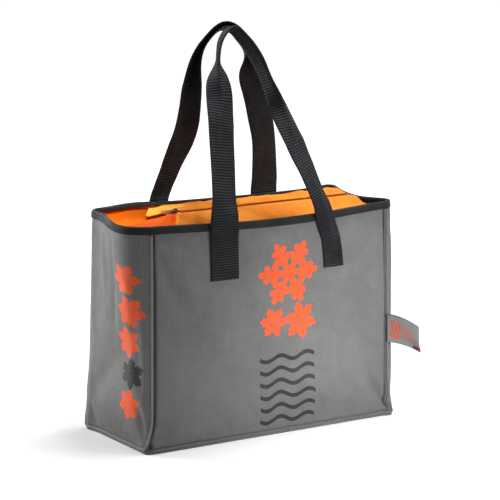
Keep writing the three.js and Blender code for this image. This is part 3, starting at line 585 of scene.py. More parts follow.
def span(side, z):
    """Half length of a side from seam to seam, of its straight stretch, its distance and its corner radius."""
    half_width, half_depth, radius, wrap = plan(z)
    wide = side in FACING
    straight = (half_width if wide else half_depth) - radius
    arc = wrap if wide else math.pi / 2 - wrap
    return straight + arc * radius, straight, half_depth if wide else half_width, radius


def round_shell(z, share):
    """The side, and the place on it, at a share of the way round the shell."""
    lengths = [2 * span(side, z)[0] for side in SIDES]
    run = (share % 1.0) * sum(lengths)
    for side, length in zip(SIDES, lengths):
        if run <= length or side == "left":
            return side, run - length / 2
        run -= length


def flat_point(side, c, z):
    """Point in plan on the even box, before its mouth bulges."""
    half, straight, distance, radius = span(side, z)
    along, out = SIDES[side]
    run = clamp(c, -straight, straight)
    angle = min((abs(c) - abs(run)) / radius, math.pi / 2)
    past = abs(c) - abs(run) - angle * radius
    u = run + math.copysign(radius * math.sin(angle), c)
    n = distance - radius * (1 - math.cos(angle)) - past
    return along[0] * u + out[0] * n, along[1] * u + out[1] * n


def front_hump(x, z):
    reach = span("front", z)[1]
    past = x - FRONT_CENTRE
    u = past / (reach + FRONT_CENTRE if past < 0 else reach - FRONT_CENTRE)
    return max(0.0, 1 - u * u) ** 1.5


def end_hump(s, tail):
    """A hump of height 1 along an end, which rises fast from the front and falls the faster the larger tail is."""
    peak = 0.8 / (0.8 + tail)
    return (s ** 0.8 * (1 - s) ** tail) / (peak ** 0.8 * (1 - peak) ** tail)


def shell_point(side, c, z):
    """Point in plan on the inner face of the outer cloth, with the mouth's bulges but without relief."""
    x, y = flat_point(side, c, z)
    half_width, half_depth, radius, _ = plan(z)
    rise = smooth(z, BULGE_START, RIM)
    on_front = clamp((-y - half_depth + radius) / radius)
    on_back = clamp((y - half_depth + radius) / radius)
    on_end = clamp((abs(x) - half_width + radius) / radius)
    s = clamp((y + half_depth - radius / 2) / (2 * half_depth - radius))
    front = FRONT_BULGE * front_hump(x, z) * on_front
    back = -BACK_WAVE * math.sin(math.pi * clamp(x / (half_width - radius), -1, 1)) * on_back
    left = -LEFT_BULGE * end_hump(s, 2.6)
    right = RIGHT_BULGE * end_hump(s, 6) - RIGHT_DIP * math.sin(math.pi * s)
    return x + rise * (left if x < 0 else right) * on_end, y + rise * (back - front)


def shell_normal(side, c, z):
    a, b = shell_point(side, c - 0.5, z), shell_point(side, c + 0.5, z)
    length = math.hypot(b[0] - a[0], b[1] - a[1])
    return (b[1] - a[1]) / length, -(b[0] - a[0]) / length


def crease(c, z, start, end, width, depth):
    """A soft valley, or with a negative depth a soft fold, between two places on a panel."""
    ac, az = c - start[0], z - start[1]
    bc, bz = end[0] - start[0], end[1] - start[1]
    along = clamp((ac * bc + az * bz) / (bc * bc + bz * bz))
    off = math.hypot(ac - bc * along, az - bz * along)
    return -depth * math.exp(-((off / width) ** 2)) * math.sin(math.pi * clamp(0.08 + 0.84 * along)) ** 0.7


CREASES = {
    "front": [
        ((-96, 208), (-128, 120), 15, 1.5), ((-58, 206), (-30, 110), 17, 1.2), ((74, 208), (40, 95), 16, 1.4),
        ((112, 210), (150, 80), 20, 1.3), ((-178, 262), (-120, 150), 12, 1.0), ((150, 58), (184, 6), 7, 1.8),
        ((-150, 40), (-184, 6), 8, 1.6), ((30, 60), (120, 30), 18, -0.9), ((-100, 60), (-20, 40), 22, -0.9),
    ],
    "right": [((-55, 60), (-72, 8), 6, 1.5), ((20, 250), (-10, 120), 12, 1.4), ((60, 50), (70, 8), 6, 1.2)],
    "back": [
        ((-50, 208), (-90, 100), 16, 1.3), ((96, 206), (130, 110), 17, 1.3), ((-150, 50), (-184, 6), 8, 1.5),
        ((10, 180), (40, 60), 22, 1.0),
    ],
    "left": [
        ((14, 285), (10, 150), 6, 1.2), ((-30, 280), (-14, 190), 9, -0.9), ((58, 62), (73, 8), 6, 1.4),
        ((30, 130), (-40, 70), 16, 1.1),
    ],
}
RELIEF_SEED = {"front": 1.7, "right": 8.2, "back": 15.1, "left": 23.4}
CREASE_DEPTH, SUNK_DEPTH, SUNK_ABOVE_BASE = 2.5, 3.2, 0.45
POINTED_FOOT, ROUND_FOOT, CORNER_FILL, CORNER_BULGE = 4.6, 1.2, 4.2, 3.0
FRONT_HOLE, LEFT_HOLE, LEFT_SWELL, RIGHT_SWELL = 3.0, 2.0, 5.0, 5.0


def strayed(side, c, z):
    """How far the front's corner seams stray near the base: the right one inwards, the left one outwards."""
    if side != "front":
        return 0.0
    return 5.0 * bell(z - 21, 9) if c > 0 else -5.0 * bell(z - 3, 9)


def sunk_and_painted_shade(side, c, z):
    """How deep the cloth is drawn in beside its seams, from 0 to 1: beside the corners, and above the base. The outer
    cloth's colour is darkened by the same share, as painted shade in these grooves and in the hole at the front left
    foot.
    """
    above_base = SUNK_ABOVE_BASE * bell(z - 6.8, 1.0)
    if side not in FACING:
        return above_base
    edge = span(side, z)[0] - abs(c) - max(0.0, strayed(side, c, z))
    beside_corner = bell(edge - 2.7, 1.4 if c < 0 else 1.1) * smooth(z, 2, 14) * (1 - smooth(z, 276, 286))
    hole = min(1.0, 1.6 * bell(edge - 1.0, 5.0) * bell(z - 8, 6)) if side == "front" and c < 0 else 0
    return max(beside_corner, hole, above_base)


def relief(side, c, z):
    """How far the soft wall stands out or in from its even shape, in millimetres."""
    half = span(side, z)[0]
    edge = half - abs(c)
    upright = smooth(z, 4, 22) * (1 - smooth(z, 262, 284))
    hem = smooth(edge, 0, 16) * upright
    seed = RELIEF_SEED[side]
    broad = noise.noise(Vector((c / 85, z / 95, seed))) * 3.0 + noise.noise(Vector((c / 36, z / 52, seed + 5))) * 1.1
    total = hem * (broad + CREASE_DEPTH * sum(crease(c, z, *each) for each in CREASES[side]))
    pointed = side in ("front", "right") and (c > 0) == (side == "front")
    total += bell(edge, 6) * (POINTED_FOOT * bell(z, 32) if pointed else ROUND_FOOT * (1 - smooth(z, 2, 20)))
    total -= SUNK_DEPTH * sunk_and_painted_shade(side, c, z)
    if side in ("left", "back") and (c > 0) == (side == "back"):
        fill = CORNER_FILL - ROUND_FOOT * (1 - smooth(z, 0, 20)) + CORNER_BULGE * bell(z - 45, 32)
        total += fill * bell(edge, 16)
    if side == "front":
        total -= FRONT_HOLE * bell(half + c - 4, 4.0) * bell(z - 10, 8)
    if side == "left":
        near, far = half - c, half + c
        swelling = LEFT_SWELL * (1 - (1 - clamp(near / 30)) ** 2) * smooth(far, 0, 70)
        total += swelling * smooth(z, 4, 60) * (1 - 0.35 * smooth(z, 230, RIM))
        total -= LEFT_HOLE * bell(near - 4, 4.0) * bell(z - 10, 8)
    if side == "right":
        near = clamp((half + c) / 9) * math.exp(-max(half + c - 9, 0) / 26)
        fading = (1 - 0.6 * smooth(z, 200, 276)) * (1 - smooth(z, 270, 286))
        total += RIGHT_SWELL * near * smooth(z, -6, 6) * fading
    return total


def wall(side, c, z, out):
    """Point at a distance outside the inner face of the outer cloth."""
    x, y = shell_point(side, c, z)
    nx, ny = shell_normal(side, c, z)
    out += relief(side, c, z)
    return Vector((x + nx * out, y + ny * out, z)) / 1000


def outward(side, c, z):
    return Vector((*shell_normal(side, c, z), 0))


def rim_top(side, c):
    """Height of the rim, which sags in front and stands up at its back corners."""
    half_width, half_depth, radius, _ = plan(RIM)
    x, y = flat_point(side, c, RIM)
    on_front = clamp((-y - half_depth + radius) / radius)

    def near(px, py, spread):
        return math.exp(-((x - px) ** 2 + (y - py) ** 2) / spread ** 2)

    return (
        RIM - FRONT_SAG * front_hump(x, RIM) * on_front
        + 4 * near(-0.7 * half_width, half_depth, half_width / 4)
        + 2 * near(half_width, half_depth, half_width / 7)
        - 2 * near(half_width, -0.1 * half_depth, half_depth / 1.8)
    )


print("front rim at the middle:", [round(v, 4) for v in wall("front", 0, rim_top("front", 0), FABRIC)])

# %% [markdown]
# ## From a grid to a piece
# A wall, a strap and a binding are all grids that have been bent. Each starts as one flat grid, every vertex is
# moved to its place on the surface, and the cloth's own measure goes into a UV map. A modifier then gives the
# sheet its thickness.

# %% Grid and piece helpers
def bent_grid(columns, rows, place, measure, wrap=False):
    """A grid whose vertices move to place(u, v), with measure(u, v) in metres as its UV map named cloth."""
    bm = bmesh.new()
    bmesh.ops.create_grid(bm, x_segments=columns, y_segments=rows, size=0.5)
    uv = bm.loops.layers.uv.new("cloth")
    share = {v: (round(v.co.x + 0.5, 6), round(v.co.y + 0.5, 6)) for v in bm.verts}
    for face in bm.faces:
        for loop in face.loops:
            loop[uv].uv = measure(*share[loop.vert])
    for v, (a, b) in share.items():
        v.co = place(a, b)
    if wrap:
        bmesh.ops.remove_doubles(bm, verts=bm.verts, dist=1e-5)
    return bm


def facing_out(bm):
    bmesh.ops.recalc_face_normals(bm, faces=bm.faces)
    return bm


def piece(bm, name, material, replaces=(), body="bag", thickness=None, offset=0.0):
    mesh = bpy.data.meshes.new(name)
    bm.to_mesh(mesh)
    bm.free()
    mesh.shade_smooth()
    mesh.materials.append(material)
    obj = bpy.data.objects.new(name, mesh)
    bpy.context.scene.collection.objects.link(obj)
    if thickness:
        solid = obj.modifiers.new("thickness", "SOLIDIFY")
        solid.thickness = thickness
        solid.offset = offset
    if body:
        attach(obj, body)
    if replaces:
        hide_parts(*replaces)
    return obj


def crowded(share, crowding):
    """A place from -1 to 1 for a share from 0 to 1, with the steps closer together towards both ends."""
    t = 2 * share - 1
    return (1 - crowding) * t + crowding * math.sin(t * math.pi / 2)


def wall_sheet(side, low, high, out, columns, rows, ripple=None, crowding=0.0, short=0.0):
    """A sheet on one side from the height low up to high(side, c), at the distance out(z); it may stop short."""
    def place(u, v):
        across = crowded(u, crowding) * (1 - short / span(side, RIM)[0])
        top = high(side, across * span(side, RIM)[0])
        z = lerp(low, top, (crowded(v, crowding) + 1) / 2)
        c = across * span(side, z)[0]
        return wall(side, c, z, out(z) + (ripple(side, c, z) if ripple else 0))

    def measure(u, v):
        z = lerp(low, RIM, (crowded(v, crowding) + 1) / 2)
        return crowded(u, crowding) * span(side, z)[0] / 1000, z / 1000

    return bent_grid(columns, rows, place, measure)


def panel_top(side, c):
    return rim_top(side, c) - 1.3


print("helpers ready")

# %% [markdown]
# ## Outer panels
# Four panels of coated cloth over foam make the walls. They could be four flat plates, but padded cloth between
# sewn edges is never flat: it swells a little and puckers along the seams. So each panel is bent onto the shell
# first, held by its sewn edges, and then filled a little by a short cloth simulation.

# %% Padded panels
SWELL_LOW, SWELL_HIGH, PATCH_FOOT = 0.012, 0.266, 0.204


def under_strap(side, co):
    """Whether a point of a cover lies under the sewn webbing, where the cloth can't swell."""
    if side not in FACING or co.z < PATCH_FOOT:
        return False
    x = co.x * 1000
    return any(abs(x - foot) < width / 2 + 6 for foot, width in STRAP_FEET[side])


def swell(cover, side, cap=0.003, force=2.5, frames=14):
    """Lets a cover swell between its sewn edges; no point stands out further than cap, in metres."""
    rest = [v.co.copy() for v in cover.data.vertices]
    uses = {}
    for polygon in cover.data.polygons:
        for key in polygon.edge_keys:
            uses[key] = uses.get(key, 0) + 1
    held = {v for key, count in uses.items() if count == 1 for v in key}
    held |= {
        v.index for v in cover.data.vertices
        if under_strap(side, v.co) or not SWELL_LOW < v.co.z < SWELL_HIGH
    }
    sewn = cover.vertex_groups.new(name="sewn")
    sewn.add(sorted(held), 1.0, "REPLACE")
    thickness = cover.modifiers["thickness"]
    thickness.show_viewport = False
    cloth = cover.modifiers.new("swell", "CLOTH")
    settings = cloth.settings
    settings.quality = 5
    settings.mass = 0.2
    settings.vertex_group_mass = "sewn"
    settings.tension_stiffness = settings.compression_stiffness = 20
    settings.bending_stiffness = 0.5
    settings.shrink_min = -0.004
    settings.use_pressure = True
    settings.uniform_pressure_force = force
    settings.effector_weights.gravity = 0
    for number in range(1, frames + 1):
        bpy.context.scene.frame_set(number)
    result = cover.evaluated_get(bpy.context.evaluated_depsgraph_get()).to_mesh()
    away = Vector((*SIDES[side][1], 0))
    steps = []
    for vertex, start in zip(result.vertices, rest):
        out = (vertex.co - start).dot(away)
        steps.append(away * (cap * math.tanh(max(out, -0.0002) / cap)))
    cover.to_mesh_clear()
    cover.modifiers.remove(cloth)
    cover.vertex_groups.remove(sewn)
    thickness.show_viewport = True
    bpy.context.scene.frame_set(1)
    for vertex, start, step in zip(cover.data.vertices, rest, steps):
        vertex.co = start + step
    print(side, "cover swells up to", round(max(s.length for s in steps), 4))


def store(obj, name, values):
    obj.data.attributes.new(name, "FLOAT", "POINT").data.foreach_set("value", values)


def run_at(side, p):
    """The distance round the shell of a point from its side's middle, from its place in plan."""
    _, straight, _, radius = span(side, p.z)
    place = p.dot(Vector((*SIDES[side][0], 0)))
    run = abs(place)
    if run > straight:
        run = straight + radius * math.asin(clamp((run - straight) / radius))
    return math.copysign(run, place)


STRAP_FEET = {"front": ((-76, 40), (92, 31)), "back": ((96, 31), (-76, 40))}
CLOTHS = {"front": front_cloth, "right": plain_cloth, "back": plain_cloth, "left": end_cloth}
for side, cloth in CLOTHS.items():
    node, columns = (side + "_panel", 100) if side in FACING else (side + "_gusset", 50)
    bm = wall_sheet(side, 4.4, panel_top, lambda z: FABRIC, columns, 76, crowding=0.88)
    cover = piece(bm, side + "_cover", cloth, [node], thickness=FABRIC / 1000, offset=-1.0)
    store(cover, "sunk_and_painted_shade", [sunk_and_painted_shade(side, run_at(side, v.co * 1000), v.co.z * 1000) for v in cover.data.vertices])
    swell(cover, side)

# %% [markdown]
# ## Seams
# The panels are sewn wrong side out along the corners, which leaves a narrow raised ridge of folded cloth. A thin
# tube of the same cloth along each seam catches the light as that ridge does. The front left one is painted paler,
# as a painted highlight where it catches the light from the left.

# %% Seam ridges
UP = Vector((0, 0, 1))
SEAM_LOW, SEAM_HIGH = 5.0, 277.5


def ridge(name, line, width, height, steps, cloth, sides=12):
    """A low rounded ridge along line(t), which gives a point, an outward and a sideways direction."""
    def place(u, v):
        point, out, aside = line(v)
        turn = 2 * math.pi * u
        return point + out * (height * 0.5 * (1 + math.cos(turn)) - 0.0003) + aside * (width / 2 * math.sin(turn))

    bm = bent_grid(sides, steps, place, lambda u, v: (u * width * 3, v * 0.3), wrap=True)
    bmesh.ops.holes_fill(bm, edges=bm.edges, sides=sides)
    return piece(facing_out(bm), name, cloth)


def seam_line(side, end):
    def line(t):
        z = lerp(SEAM_LOW, SEAM_HIGH, t)
        c = end * (span(side, z)[0] + 0.8 - strayed(side, end, z))
        out = outward(side, c, z)
        return wall(side, c, z, FABRIC), out, UP.cross(out)
    return line


for name, side, end, size, cloth in (
    ("seam_front_left", "front", -1, 0.0028, seam_highlight_cloth),
    ("seam_front_right", "front", 1, 0.0020, plain_cloth),
    ("seam_back_left", "back", 1, 0.0020, plain_cloth),
    ("seam_back_right", "back", -1, 0.0020, plain_cloth),
):
    ridge(name, seam_line(side, end), size, size, 90, cloth)

# %% [markdown]
# ## Base
# The base panel is stiffened by a board and turns up into a flat seam all round. The seam is the widest part of
# the foot, and it is what touches the ground.

# %% Base panel, seam and pads
def slab(name, low, high, out, material, node, rounding):
    """A flat pad inside the shell with its edge a little rounded."""
    profile = [(low, out - rounding), (low + rounding, out), (high - rounding, out), (high, out - rounding)]

    def place(u, v):
        z, reach = profile[round(u * 3)]
        side, c = round_shell(z, v)
        return wall(side, c, z, reach)

    bm = bent_grid(3, 220, place, lambda u, v: (u * 0.01, v), wrap=True)
    bmesh.ops.holes_fill(bm, edges=bm.edges, sides=240)
    return piece(facing_out(bm), name, material, [node])


slab("base_cover", 0.0, 4.0, FABRIC, plain_cloth, "base_panel", 1.0)
slab("base_pad", 4.1, 7.8, -0.3, foam, "base_foam", 1.0)
base_cloth = slab("base_inner_cloth", 8.1, 8.9, -4.6, lining_painted_shade, "base_lining", 0.3)


def base_line(t, z=4.2):
    side, c = round_shell(z, t)
    return wall(side, c, z, FABRIC), outward(side, c, z), UP


ridge("base_seam", base_line, 0.0024, 0.0012, 260, plain_cloth)

# %% [markdown]
# ## Foam and lining
# Behind each cover lies a foam slab, and the bright lining hangs in front of it. Only the lining is seen, so it
# gets slack folds that fade out towards its sewn edges; the foam stays plain.

# %% Foam pads and lining walls
FOAM_TOP, PINCH = RIM - 32, RIM - 18


def lining_out(z):
    """Distance of the lining's middle layer: behind the foam, and above it pinched against the cover."""
    return lerp(-FOAM - 2 * GAP, -GAP, smooth(z, FOAM_TOP + GAP, PINCH)) - LINING / 2


def slack(side, c, z):
    """Soft folds of the lining, inwards only, in millimetres."""
    half = span(side, z)[0]
    hem = smooth(half - abs(c), 2, 30) * smooth(z, 12, 50) * (1 - smooth(z, FOAM_TOP - 30, FOAM_TOP))
    seed = {"front": 0.0, "right": 7.3, "back": 13.9, "left": 21.1}[side]
    fold = noise.noise(Vector((c / 34, z / 80, seed))) + 0.5 * noise.noise(Vector((c / 15, z / 40, seed + 3)))
    return -1.0 * hem * (1.0 + clamp(fold, -1, 1))


for side in SIDES:
    columns, width = (60, 0.378) if side in FACING else (30, 0.152)
    bm = wall_sheet(side, 10.5, lambda s, c: FOAM_TOP, lambda z: -GAP - FOAM / 2, columns, 40, short=7.0)
    pad = piece(bm, side + "_pad", foam, [side + "_foam"], thickness=(FOAM - 0.4) / 1000)
    bm = wall_sheet(side, 9.4, panel_top, lining_out, columns * 2, 60, slack)
    cloth = piece(bm, side + "_inner_cloth", lining_painted_shade, [side + "_lining"], thickness=0.0006)
    side + "_pad"

# %% [markdown]
# ## Rim binding
# A black tape is folded over the raw edges of cover and lining and stitched through. Its section is a hook with a
# longer outer leg, carried once round the mouth as one closed strip.

# %% Rim binding
def below_rim(share, drop):
    """The side, place and height of a point near the rim, at a share of the way round."""
    side, c = round_shell(RIM, share)
    z = rim_top(side, c) + drop
    return side, c * (span(side, z)[0] / span(side, RIM)[0]), z


def hook(u):
    """Distance and drop of the tape's middle layer, from the outer leg's edge over the top to the inner leg's."""
    out, inner, top, fold = 2.0, -1.9, -0.5, -2.0
    outer_leg, inner_leg = 8.0, 4.4
    if u < 0.4:
        return out + 0.25 * math.sin(math.pi * u / 0.4), fold - outer_leg * (1 - u / 0.4)
    if u > 0.7:
        return inner - 0.2 * math.sin(math.pi * (u - 0.7) / 0.3), fold - inner_leg * (u - 0.7) / 0.3
    turn = math.pi * (u - 0.4) / 0.3
    return (out + inner) / 2 + (out - inner) / 2 * math.cos(turn), fold + (top - fold) * math.sin(turn)


def on_rim(u, v):
    out, drop = hook(u)
    return wall(*below_rim(v, drop), out)


bm = facing_out(bent_grid(24, 300, on_rim, lambda u, v: (u * 0.022, v * 1.03), wrap=True))
rim = piece(bm, "binding", binding, ["rim_binding"], thickness=0.0009)
print("binding:", len(rim.data.vertices), "points")

# %% [markdown]
# ## Closure
# Two strips of lining cloth close the mouth and carry the zip. They rise from seams under the binding, are slack,
# and hang free at the left end, where the deep inside of the bag shows. For each point a share is worked out of how
# far it would follow its flap when the zip is run open, most in the middle, but the share is not kept.

# %% Closure cloth
ZIP_Z = RIM - 0.5
ZIP_LEFT, ZIP_RIGHT = -120, 168
SLOPES = {"front": math.radians(11.5), "back": math.radians(7.0)}
FOLD, ZIP_HEM = 1.95, 6.5
LEFT_WALL = -178
STEP_LINE, VALLEY_LINE = ((-129, -45), (-104, -8)), ((-89, -38), (-96, -8))


@functools.cache
def reach_at(side, x):
    sign, reach = FACING[side], 68.0
    for _ in range(6):
        z = ZIP_Z - reach * math.sin(SLOPES[side])
        point = wall(side, -sign * x, z, lining_out(z) - LINING / 2 - 0.7) * 1000
        reach = (sign * point.y - FOLD) / math.cos(SLOPES[side])
    return reach


def wall_reach(side, x):
    """How far the wall is from the zip fold, measured down the strip, to the nearest millimetre along it."""
    return lerp(reach_at(side, math.floor(x)), reach_at(side, math.floor(x) + 1), x - math.floor(x))


def flap_share(x, y):
    """How far a point of the closure follows its flap: nothing at the wall and the ends, all at the middle."""
    across = 1 - smooth(abs(y), 42, 50)
    along = smooth(x, -74, -20) * (1 - smooth(x, 66, 121))
    return across * along


def closure_point(side, x, reach, lift):
    """Point on the even slope of a strip, at a reach from the zip and a lift above the tape's middle layer."""
    z = ZIP_Z - reach * math.sin(SLOPES[side]) + lift
    return Vector((x, FACING[side] * (FOLD + reach * math.cos(SLOPES[side])), z)) / 1000


def beside(x, y, start, end):
    """Signed distance from a line in plan; positive on its right-hand side, towards larger x."""
    dx, dy = end[0] - start[0], end[1] - start[1]
    return ((x - start[0]) * dy - (y - start[1]) * dx) / math.hypot(dx, dy)


def free_edge(x):
    """Reach of the front strip's free edge: beside the zip, then away from it to the left wall."""
    return ZIP_HEM - FOLD + 38 * max(0.0, (-x - 112) / 92) ** 1.15


def front_left_end(v):
    """Where the front strip meets the left wall."""
    x = -190.0
    for _ in range(4):
        reach = lerp(wall_reach("front", max(x, LEFT_WALL)), free_edge(x), v)
        x = (wall("left", FOLD + reach * math.cos(SLOPES["front"]), 284, -3.4) * 1000).x
    return x


def front_lift(x, y, v):
    """Folds of the front strip near the slider, where its spare length is bunched."""
    bunched = smooth(v, 0.05, 0.3) * (1 - smooth(v, 0.86, 1.0) * smooth(x, -125, -108))
    step = beside(x, y, *STEP_LINE)
    crest = 4.0 * (math.exp(-step / 20) if step > 0 else math.exp(step / 4))
    valley = 2.2 * bell(beside(x, y, *VALLEY_LINE), 3.5)
    return bunched * (crest - valley) + 6.0 * smooth(-x, 112, 205) * v


def back_left_end(v):
    return lerp(-104, -129, smooth(v, 0, 0.7)) + 9 * smooth(v, 0.8, 1)


def back_lift(x, y, v):
    """The back strip's crown, and its sag towards the free left end."""
    return 4.0 * math.sin(math.pi * v) - 9.0 * (1 - smooth(x, -126, -90)) * math.sin(math.pi * v ** 1.5)


def cloth_strip(side, left_end, near, folds, seed):
    left_end = functools.cache(left_end)

    def place(u, v):
        x = lerp(left_end(v), ZIP_RIGHT, u)
        reach = lerp(wall_reach(side, max(x, LEFT_WALL)), near(x), v)
        y = FACING[side] * (FOLD + reach * math.cos(SLOPES[side]))
        hem = smooth(v, 0, 0.25) * (1 - smooth(v, 0.82, 1.0))
        wave = noise.noise(Vector((x / 30, reach / 26, seed))) + 0.5 * noise.noise(Vector((x / 13, reach / 15, seed)))
        crinkle = 1 - abs(noise.noise(Vector((x / 17, y / 24, seed + 4)))) * 2
        lift = hem * (2.2 * (wave + 0.3) + 1.3 * crinkle) + folds(x, y, v)
        return closure_point(side, x, reach, 1.0 + lift)

    return facing_out(bent_grid(150, 30, place, lambda u, v: (u * 0.34, v * 0.065)))


def follow_flap(obj, side):
    sign = FACING[side]
    side + "_flap"
    sign * 0.050
    sign * 0.042
    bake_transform(obj)
    values = [flap_share(v.co.x * 1000, v.co.y * 1000) for v in obj.data.vertices]


STRIPS = {
    "front": (0.067, 0.368, cloth_strip("front", front_left_end, free_edge, front_lift, 2.0)),
    "back": (0.066, 0.296, cloth_strip("back", back_left_end, lambda x: ZIP_HEM - FOLD, back_lift, 9.0)),
}
for side, (width, length, bm) in STRIPS.items():
    shown = [f"closure_{side}_border", f"closure_{side}_flap"]
    strip = piece(bm, side + "_closure_cloth", lining, shown, body=None, thickness=0.0007)
    if side == "front":
        # Left of its step line the front strip is painted a deep red, strongest beside the line. This is painted
        # shade where the cloth turns away from the light beside its fold.
        past = [beside(v.co.x * 1000, v.co.y * 1000, *STEP_LINE) for v in strip.data.vertices]
        fold = [(1 - smooth(run, -3, 1)) * lerp(0.65, 1.0, math.exp(min(run, 0) / 9)) for run in past]
        store(strip, "painted_fold_shade", fold)
    follow_flap(strip, side)
    side + "_inner_cloth"
    side + "_zip_tape"

# %% [markdown]
# ## Zip
# The zip is a tape with moulded teeth on its edge, one tooth every four millimetres, the two rows half a step
# apart. A tooth is a small bevelled block with a waist; one is made and copied along the tape.

# %% Zip tape and teeth
TOOTH, TOOTH_STEP, TOOTH_BEVEL = (1.5, 3.2, 2.4), 4, 0.28


def tooth_into(bm, x, sign):
    made = bmesh.ops.create_cube(bm, size=1.0)["verts"]
    bmesh.ops.scale(bm, vec=TOOTH, verts=made)
    for v in made:
        if v.co.y * sign > 0:
            v.co.x *= 0.75
    bevelled = bmesh.ops.bevel(
        bm, geom=list({e for v in made for e in v.link_edges}), offset=TOOTH_BEVEL, offset_type="OFFSET",
        segments=1, profile=0.5, affect="EDGES", material=-1,
    )
    moved = list({v for f in bevelled["faces"] for v in f.verts} | {v for v in made if v.is_valid})
    bmesh.ops.translate(bm, vec=(x, sign * 0.8, 0), verts=moved)


def zip_nodes(part, side):
    return [f"zip_{part}_{side}_{stretch}" for stretch in ("left", "middle", "right")]


for side, shift in (("front", 0.0), ("back", 0.5)):
    bm = bmesh.new()
    for k in range(-29, 41):
        x = (k + shift) * TOOTH_STEP
        if -115 < x < 163.5:
            tooth_into(bm, x, FACING[side])
    bmesh.ops.translate(bm, vec=(0, 0, ZIP_Z), verts=bm.verts)
    bmesh.ops.scale(bm, vec=(0.001,) * 3, verts=bm.verts)
    teeth = piece(bm, side + "_teeth", moulded, zip_nodes("teeth", side), body=None)
    teeth.data.shade_flat()
    follow_flap(teeth, side)

    def tape_point(u, v):
        return closure_point(side, lerp(ZIP_LEFT, ZIP_RIGHT, u), lerp(0.4, 11.0, v), 0.0)

    bm = facing_out(bent_grid(110, 4, tape_point, lambda u, v: (u * 0.288, v * 0.011)))
    tape = piece(bm, side + "_zip_tape", zip_tape, zip_nodes("tape", side), body=None, thickness=0.0006)
    follow_flap(tape, side)
    side + "_closure_cloth"

# %% [markdown]
# ## Straps
# Each handle is one length of webbing, sewn flat on the panel at both ends and free between. The leg stands off
# the bag a little, leans in, and is folded along its middle for the grip. Modelled as one ribbon, the sewn ends
# run into the legs without a joint.

# %% Strap ribbon
WEBBING, BEND = 1.6, 1.5
STRAP_FACE = FABRIC + 0.6 + WEBBING / 2
OVER_BINDING = 3.1 + 0.6 + WEBBING / 2
CLOSED, PINCHED = math.radians(86), math.radians(24)
GRIP_APART = 21
PATCH_LOW, PATCH_HIGH = 213.0, 255.0
HANDLES = {
    "front": dict(
        left=(-76, -2, 40), right=(92, -9, 31),
        route=[
            (-80.6, 12, 10, 0), (-75, 65, 10, 0), (-69, 117, 5, 0), (-62.6, 148.5, -6, 0.28), (-62.9, 172, -22, 0.54),
            (-60.4, 196, -32, 0.97), (-48.4, 223, -27, 1), (-28.3, 235.6, -18, 1), (-9.3, 220, -11, 0.9),
            (5.3, 197, -4, 0.82), (15, 169.5, -3, 0.9), (28, 138.7, -11, 0.55), (35.4, 88.5, -24, 0),
            (47.7, 53, -29, 0), (65.8, 10, -23, 0),
        ],
    ),
    "back": dict(
        left=(-96, 6, 31), right=(76, -1, 40),
        route=[
            (-77.5, 20, 10, 0), (-68.9, 45, 14, 0), (-59.7, 82.5, 7, 0.1), (-60.4, 128.5, -6, 0.48),
            (-58.2, 157.8, -21, 0.62), (-54.2, 188.7, -33, 0.82), (-45, 208, -38, 0.94), (-27, 226.5, -31, 0.96),
            (-11, 224, -18, 0.96), (3, 212.5, -4, 0.94), (16.8, 197.5, 8, 0.76), (27, 169.6, 8, 0.3),
            (41.9, 143.8, 1, 0), (55.1, 107.7, -4, 0), (65.6, 76.2, -8, 0), (72.4, 39, -4, 0), (75.5, 7.5, 1, 0),
        ],
    ),
}


def smoothest(x, low, high):
    t = clamp((x - low) / (high - low))
    return t * t * t * (t * (6 * t - 15) + 10)


def spline(points, per_span=24):
    """A smooth line through points of x, height and whatever goes with them; knots are spaced by distance's root."""
    ends = [points[0] * 2 - points[1], *points, points[-1] * 2 - points[-2]]
    line = []
    for p0, p1, p2, p3 in zip(ends, ends[1:], ends[2:], ends[3:]):
        t1 = (p1.xy - p0.xy).length ** 0.5
        t2 = t1 + (p2.xy - p1.xy).length ** 0.5
        t3 = t2 + (p3.xy - p2.xy).length ** 0.5
        for t in (lerp(t1, t2, k / per_span) for k in range(per_span)):
            def between(p, q, start, stop):
                return p * ((stop - t) / (stop - start)) + q * ((t - start) / (stop - start))

            middle = between(p1, p2, t1, t2)
            before, after = between(p0, p1, 0.0, t1), between(p2, p3, t2, t3)
            line.append(between(between(before, middle, 0.0, t2), between(middle, after, t1, t3), t1, t2))
    return [*line, points[-1]]


def distances(points):
    """How far each point of a line lies along it."""
    return [0.0, *itertools.accumulate((b - a).length for a, b in zip(points, points[1:]))]


def at_distance(lengths, goal):
    """The number of the segment that holds a distance along a line, and the share of it that is gone."""
    k = next((i for i, length in enumerate(lengths[1:]) if length >= goal), len(lengths) - 2)
    return k, clamp((goal - lengths[k]) / max(lengths[k + 1] - lengths[k], 1e-9))


def strap_face(side, x, z, lift):
    over = lerp(STRAP_FACE, OVER_BINDING, smooth(z, RIM - 26, RIM - 14))
    return wall(side, -FACING[side] * x, z, over + lift) * 1000


